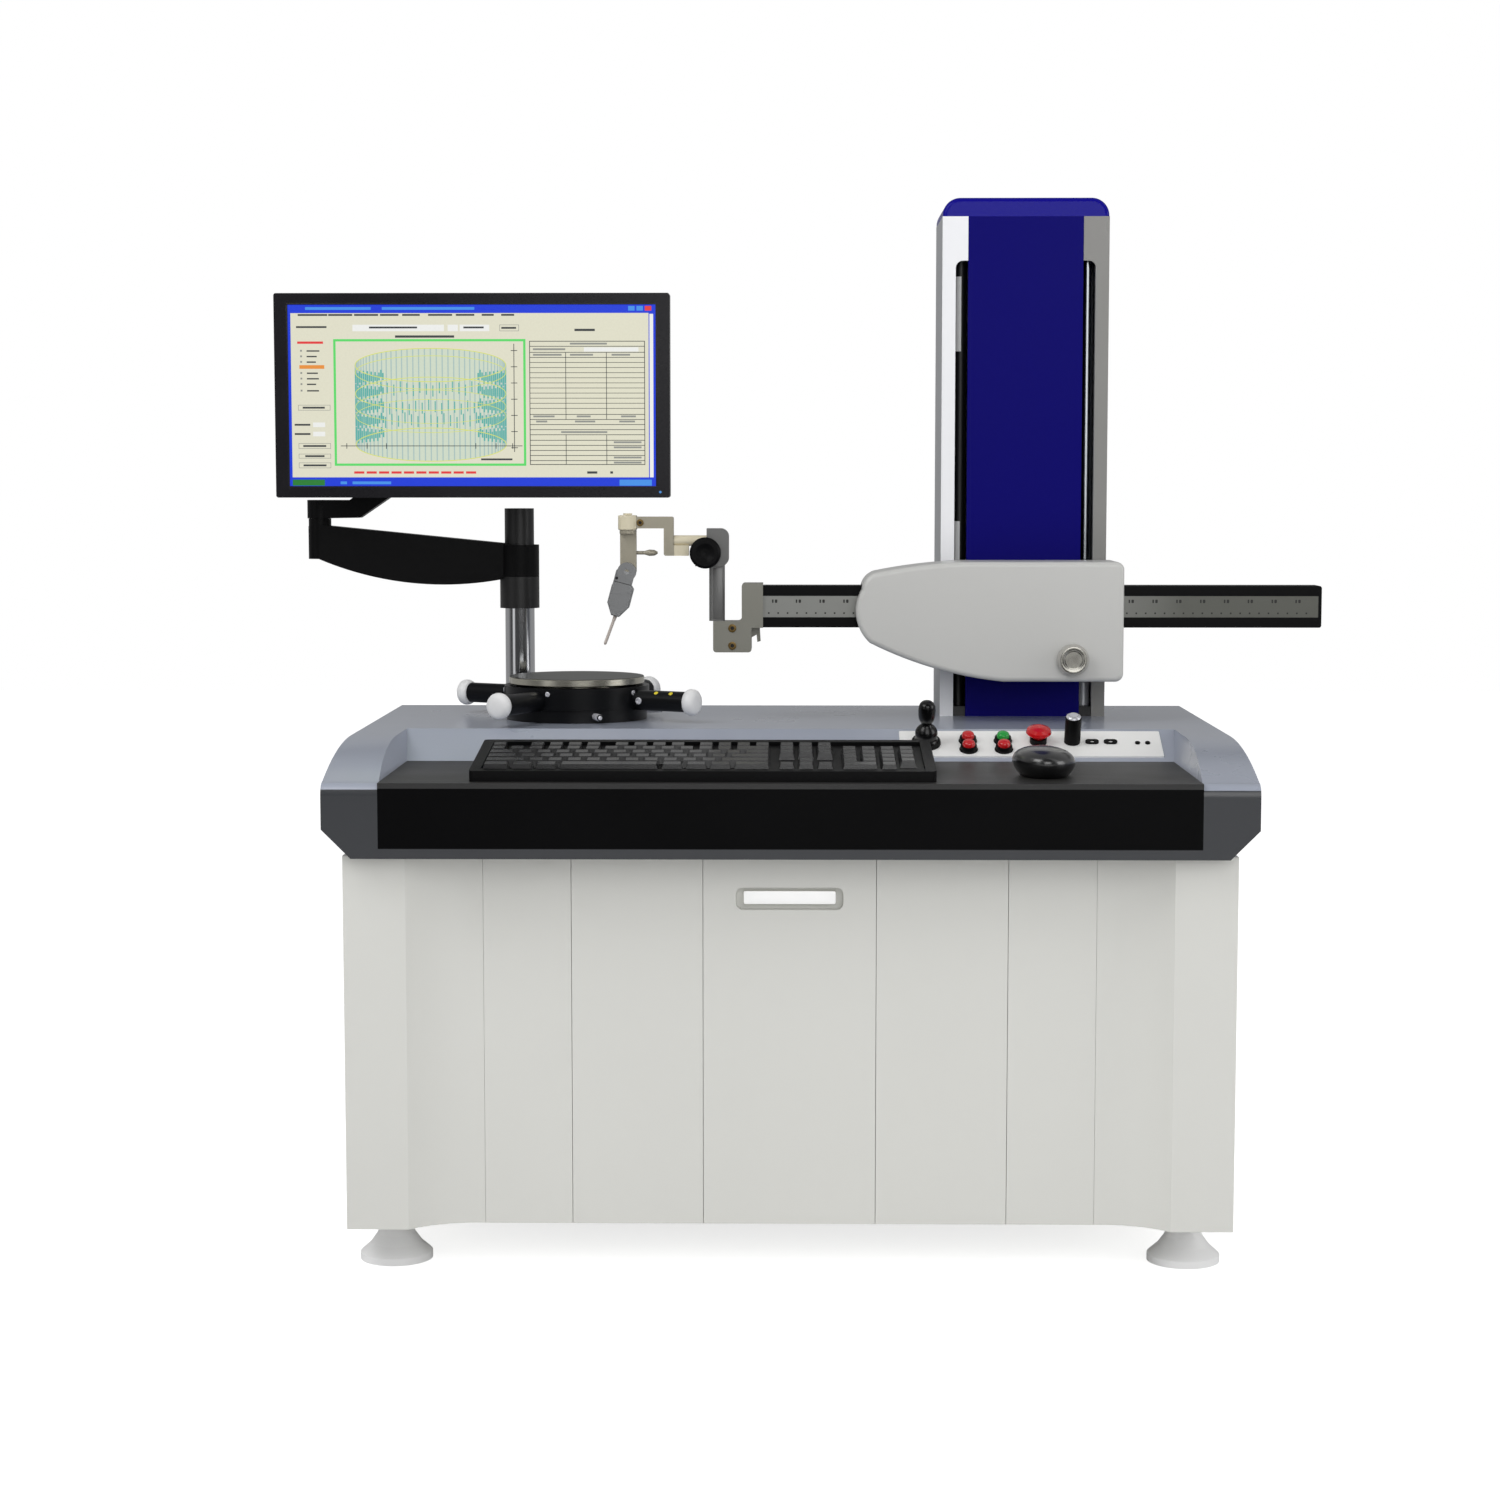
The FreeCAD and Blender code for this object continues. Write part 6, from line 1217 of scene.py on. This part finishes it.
# %% Pegs, dots and screws
PEG = [(0.0042, 0.0), (0.0042, 0.0226), (0.0034, 0.0238), (0.0012, 0.0243)]
PEG_START, PEG_HEIGHT = 0.0860, 0.5965
PEG_TURNS = (-71.0, 19.0, 109.0, 199.0)
pins = [turned(PEG, STAGE_CENTRE + outward(angle) * PEG_START + Z * PEG_HEIGHT, outward(angle),
               sides=24) for angle in PEG_TURNS]
mount(joined(pins), "base_pegs", "frame", bright_steel)
yellow_dot = finish("yellow_dot", tone(236, 214, 40), 0.4, mottle=0.04)
DOT = [(0.0026, 0.0), (0.0026, 0.0005), (0.0018, 0.0009)]
DOT_DISTANCES = (0.121, 0.142)
BARREL_SKIN = 0.0122
barrel_axis = STAGE_CENTRE + Z * KNOB_HEIGHT
front_way = outward(KNOB_TURNS["centering_knob_x"])
side_way = front_way.cross(Z)
dot_way = (Z * 0.80 + side_way * 0.60).normalized()
dots = [turned(DOT, barrel_axis + front_way * distance + dot_way * BARREL_SKIN, dot_way, sides=20)
        for distance in DOT_DISTANCES]
mount(joined(dots), "index_dots", "spindle", yellow_dot)
DRUM_SKIN, DRUM_SCREW_HEIGHT = 0.0899, 0.6235
DRUM_SCREW_TURNS = (251.0, 324.0, 180.0, 110.0, 36.0)
drum_screws = [socket_screw(0.0042, 0.0016, barrel_axis + front_way * 0.099 + side_way * BARREL_SKIN,
                            side_way)]
drum_screws += [socket_screw(0.0030, SCREW_HEAD, STAGE_CENTRE + outward(angle) * DRUM_SKIN
                             + Z * DRUM_SCREW_HEIGHT, outward(angle)) for angle in DRUM_SCREW_TURNS]
mount(joined(drum_screws), "drum_screws", "spindle", bright_steel)
print("pegs:", len(PEG_TURNS), "dots:", len(DOT_DISTANCES), "drum screws:", len(DRUM_SCREW_TURNS) + 1)

# %% [markdown]
# ## The carriage's clamp knob
#
# The arm is clamped by a grey knob with a bright dished ring in its face. The CAD knob is the right
# shape, so only the ring is new: a shallow dish that is turned to lie just over the knob's own.

# %% Bright dish
dish_metal = finish("dish_metal", tone(176, 174, 166), 0.26, metal=1.0, mottle=0.06, mottle_size=60.0)
LOCK_KNOB_SEAT = (0.3425, 0.0542, 0.6665)
DISH = [(0.0162, 0.0154), (0.0162, 0.0163), (0.0152, 0.0167), (0.0138, 0.0165), (0.0122, 0.0161),
        (0.0100, 0.0154), (0.0075, 0.0147), (0.0048, 0.0140), (0.0022, 0.0136), (0.0003, 0.0135)]
dish = turned(DISH, LOCK_KNOB_SEAT, -Y, sides=56)
mount(dish, "arm_lock_dish", "arm_lock_knob", dish_metal)
print("dish radius:", DISH[0][0])

# %% [markdown]
# ## Controls on the sloping panel
#
# Everything on the panel stands square to the slope, so a small helper turns a place on the slope
# into a place in space. The joystick is a waisted grip over a rubber bellows. The grip swings about
# a point in the panel, so its lower end is a dome that is centred there and covers the mouth of
# the bellows. The bellows is turned with its ribs, then bored. The buttons are domed caps in
# flanged collars, and the speed knob has a bright top.

# %% The slope's frame
SLOPE_FOOT = Vector((0.0, -0.0880, 0.5560))
SLOPE_TURN = math.radians(24.88)
UP_SLOPE = Vector((0.0, math.cos(SLOPE_TURN), math.sin(SLOPE_TURN)))
OFF_SLOPE = Vector((0.0, -math.sin(SLOPE_TURN), math.cos(SLOPE_TURN)))


def on_slope(x, up, off=0.0):
    """A place on the sloping panel: across, up the slope, and off its face."""
    return SLOPE_FOOT + X * x + UP_SLOPE * up + OFF_SLOPE * off


def ring_part(profile, bore, place, axis, sides=48):
    """A turned part with a hole through it."""
    body = turned(profile, place, axis, sides)
    low = min(height for _, height in profile) - 0.001
    high = max(height for _, height in profile) + 0.001
    drill = turned([(bore, low), (bore, high)], place, axis, sides)
    smooth(cut_away(body, drill))
    return body


print("slope:", round(math.degrees(SLOPE_TURN), 2), "degrees")


# %% [markdown]
# The grip's profile runs from its stem through the dome that hides the bellows' mouth to the
# round head. The bellows' profile runs up its ribbed outside and down its inside.

# %% Joystick
STICK = (0.1605, 0.0380)
DOME_R = 0.0164
SKIRT_TURNS = [math.radians(angle) for angle in (61, 56, 51)]
skirt = [(DOME_R * math.sin(turn), DOME_R * math.cos(turn)) for turn in SKIRT_TURNS]
grip = [(0.0030, -0.0060), (0.0030, 0.0066), (0.0140, 0.0069)] + skirt + [
    (0.0128, 0.0124), (0.0132, 0.0144), (0.0133, 0.0166), (0.0129, 0.0194), (0.0116, 0.0222),
    (0.0097, 0.0247), (0.0077, 0.0266), (0.0063, 0.0280), (0.0059, 0.0292), (0.0066, 0.0306),
    (0.0081, 0.0330), (0.0094, 0.0364), (0.0101, 0.0410), (0.0102, 0.0465), (0.0098, 0.0515),
    (0.0087, 0.0551), (0.0066, 0.0575), (0.0038, 0.0586), (0.0013, 0.0589), (0.0002, 0.0590)]
grip_piece = turned(grip, on_slope(*STICK), OFF_SLOPE, sides=48)
grip_gloss = finish("grip_gloss", tone(8, 8, 9), 0.24, mottle=0.08, specular=0.4)
mount(grip_piece, "joystick_grip", "joystick_stick", grip_gloss)
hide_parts("joystick_stick")
PLATE = 0.0020
bellows = [(0.0172, 0.0), (0.0175, 0.0010), (0.0172, 0.0021), (0.0167, 0.0028), (0.0170, 0.0038),
           (0.0169, 0.0044), (0.0165, 0.0050), (0.0159, 0.0054), (0.0153, 0.0054), (0.0160, 0.0042),
           (0.0164, 0.0028), (0.0167, 0.0003)]
boot = ring_part(bellows, 0.0126, on_slope(*STICK, PLATE), OFF_SLOPE)
mount(boot, "joystick_bellows", "frame", black_rubber)
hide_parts("joystick_boot")
print("joystick grip points:", len(grip), "bellows points:", len(bellows))

# %% [markdown]
# A cap is one lathe profile with a domed top. Its flange is bored a little wider than the cap, so
# that the cap slides in it.

# %% Buttons
LEFT_X, RIGHT_X, LOWER_UP_SLOPE, UPPER_UP_SLOPE = 0.2100, 0.2513, 0.0243, 0.0438
BUTTONS = {"button_lower_left": (LEFT_X, LOWER_UP_SLOPE), "button_upper_left": (LEFT_X, UPPER_UP_SLOPE),
           "button_lower_right": (RIGHT_X, LOWER_UP_SLOPE),
           "button_upper_right": (RIGHT_X, UPPER_UP_SLOPE)}
CAP = [(0.0074, 0.0051), (0.0075, 0.0092), (0.0073, 0.0112), (0.0066, 0.0128), (0.0052, 0.0138),
       (0.0032, 0.0142), (0.0012, 0.0144), (0.0002, 0.0144)]
FLANGE = [(0.0108, 0.0), (0.0110, 0.0008), (0.0106, 0.0016), (0.0099, 0.0022), (0.0097, 0.0056),
          (0.0093, 0.0062), (0.0084, 0.0063)]
flanges = []
for button, (x, up) in BUTTONS.items():
    paint = button_green if button == "button_upper_right" else button_red
    cap = mount(turned(CAP, on_slope(x, up), OFF_SLOPE), button + "_cap", button, paint)
    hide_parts(button)
    flanges.append(ring_part(FLANGE, 0.0078, on_slope(x, up, PLATE), OFF_SLOPE, sides=40))
flange_count = len(flanges)
mount(joined(flanges), "button_flanges", "frame", black_plastic)
print("button caps:", len(BUTTONS), "flanges:", flange_count)

# %% [markdown]
# The speed knob's top is a low bright dome that turns with the knob.

# %% Top of the speed knob
SPEED = (0.3328, 0.0420)
SPEED_TOP = 0.0356
crown = [(0.0085, 0.0), (0.0087, 0.0006), (0.0083, 0.0014), (0.0072, 0.0024), (0.0056, 0.0034),
         (0.0036, 0.0042), (0.0016, 0.0046), (0.0002, 0.0047)]
speed_top = turned(crown, on_slope(*SPEED, SPEED_TOP), OFF_SLOPE, sides=40)
mount(speed_top, "speed_knob_top", "speed_knob", bright_steel)
print("speed knob top radius:", crown[1][0])

# %% [markdown]
# ## The mouse
#
# The mouse is one smooth gloss-black egg. It is turned as a round dome, then stretched along its
# length and pulled a little to one side and towards its tail, as a hand-shaped shell is. The slot
# for the wheel and the split between its two buttons are cut last.

# %% Mouse shell
MOUSE_MIDDLE = Vector((0.2830, -0.2460, 0.5562))
DOME = [(0.0240, 0.0), (0.0268, 0.0010), (0.0306, 0.0055), (0.0336, 0.0108), (0.0350, 0.0160),
        (0.0343, 0.0204), (0.0316, 0.0246), (0.0272, 0.0280), (0.0216, 0.0305), (0.0154, 0.0321),
        (0.0092, 0.0329), (0.0036, 0.0331), (0.0004, 0.0331)]
DOME_HEIGHT, DOME_HALF = DOME[-1][1], 0.035
LENGTHWAYS = 1.58
END_TAPER, TAIL_TAPER = 0.07, 0.05
LEAN_LEFT, LEAN_BACK = 0.0040, 0.0050
shell = turned(DOME, (0.0, 0.0, 0.0), Z, sides=72)
for point in shell.data.vertices:
    rise = point.co.z / DOME_HEIGHT
    along = point.co.y / DOME_HALF
    point.co.y *= LENGTHWAYS
    point.co.x *= 1.0 - END_TAPER * along * along - TAIL_TAPER * along
    point.co.x -= LEAN_LEFT * rise * rise
    point.co.y -= LEAN_BACK * rise * rise
shell.location = MOUSE_MIDDLE
apply_place(shell)
slot = rounded_block((0.2786, -0.2336, 0.5750), (0.2874, -0.2064, 0.6000), corner=0.0030, along=2)
split = rounded_block((0.2826, -0.2080, 0.5790), (0.2834, -0.1850, 0.6000))
cut_away(shell, slot)
cut_away(shell, split)
smooth(shell)
mount(shell, "mouse_dome", "mouse", mouse_gloss)
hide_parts("mouse_shell")
print("mouse faces:", len(shell.data.polygons))

# %% [markdown]
# ## Relief on the probe
#
# The upright link is a milled bar with a raised rib on its front. The sensor's case leans from its
# pivot, so its parts are made upright about the pivot and leaned together: a shoulder between disc
# and case, a fine joint line, and a small dark screw.

# %% Rib, shoulder, joint line and screw
rib = rounded_block((-0.0940, 0.0903, 0.7136), (-0.0822, 0.0920, 0.7760), edge=0.0006)
mount(rib, "link_rib", "arm", link_grey)
PIVOT, LEAN_TURN = (-0.2010, 0.1010, 0.7710), math.radians(15.0)
LEAN = Matrix.Translation(PIVOT) @ Matrix.Rotation(LEAN_TURN, 4, "Y")
shoulder = rounded_block((-0.0118, -0.0119, -0.0196), (0.0110, -0.0006, 0.0010), corner=0.0025,
                         edge=0.0005)
joint_line = rounded_block((-0.0112, -0.01205, -0.0146), (0.0104, -0.0116, -0.0139), corner=0.0003)
case_screw = turned([(0.0017, 0.0), (0.0017, 0.0003), (0.0009, 0.0005)], (-0.0088, -0.0118, -0.0100),
                    -Y, sides=20)
dark_marks = joined([joint_line, case_screw])
for piece in (shoulder, dark_marks):
    piece.data.transform(LEAN)
mount(shoulder, "sensor_shoulder", "sensor", sensor_grey)
mount(dark_marks, "sensor_joint_line", "sensor", socket_shade_and_dark_joint)
print("joint line width:", round(dark_marks.dimensions.x, 4))

# %% [markdown]
# ## The drawer's pull
#
# A white plate lies at the back of the drawer's pull recess. It is a thin block with round corners, and
# it glows faintly: painted light that brightens the shaded recess.

# %% Pull plate
# The plate's faint glow is painted light, not a lamp.
pull_white = finish("pull_white", tone(255, 255, 255), 0.35, mottle=0.01, glow=0.22)
PULL_FACE, PULL_HALF = -0.2712, 0.0510
PULL_BOTTOM, PULL_TOP = 0.4148, 0.4292
pull_plate = rounded_block((-PULL_HALF, PULL_FACE - 0.0008, PULL_BOTTOM),
                           (PULL_HALF, PULL_FACE + 0.0010, PULL_TOP), corner=0.0020, edge=0.0003)
mount(pull_plate, "pull_plate", "drawer", pull_white)
print("pull plate width:", PULL_HALF * 2)
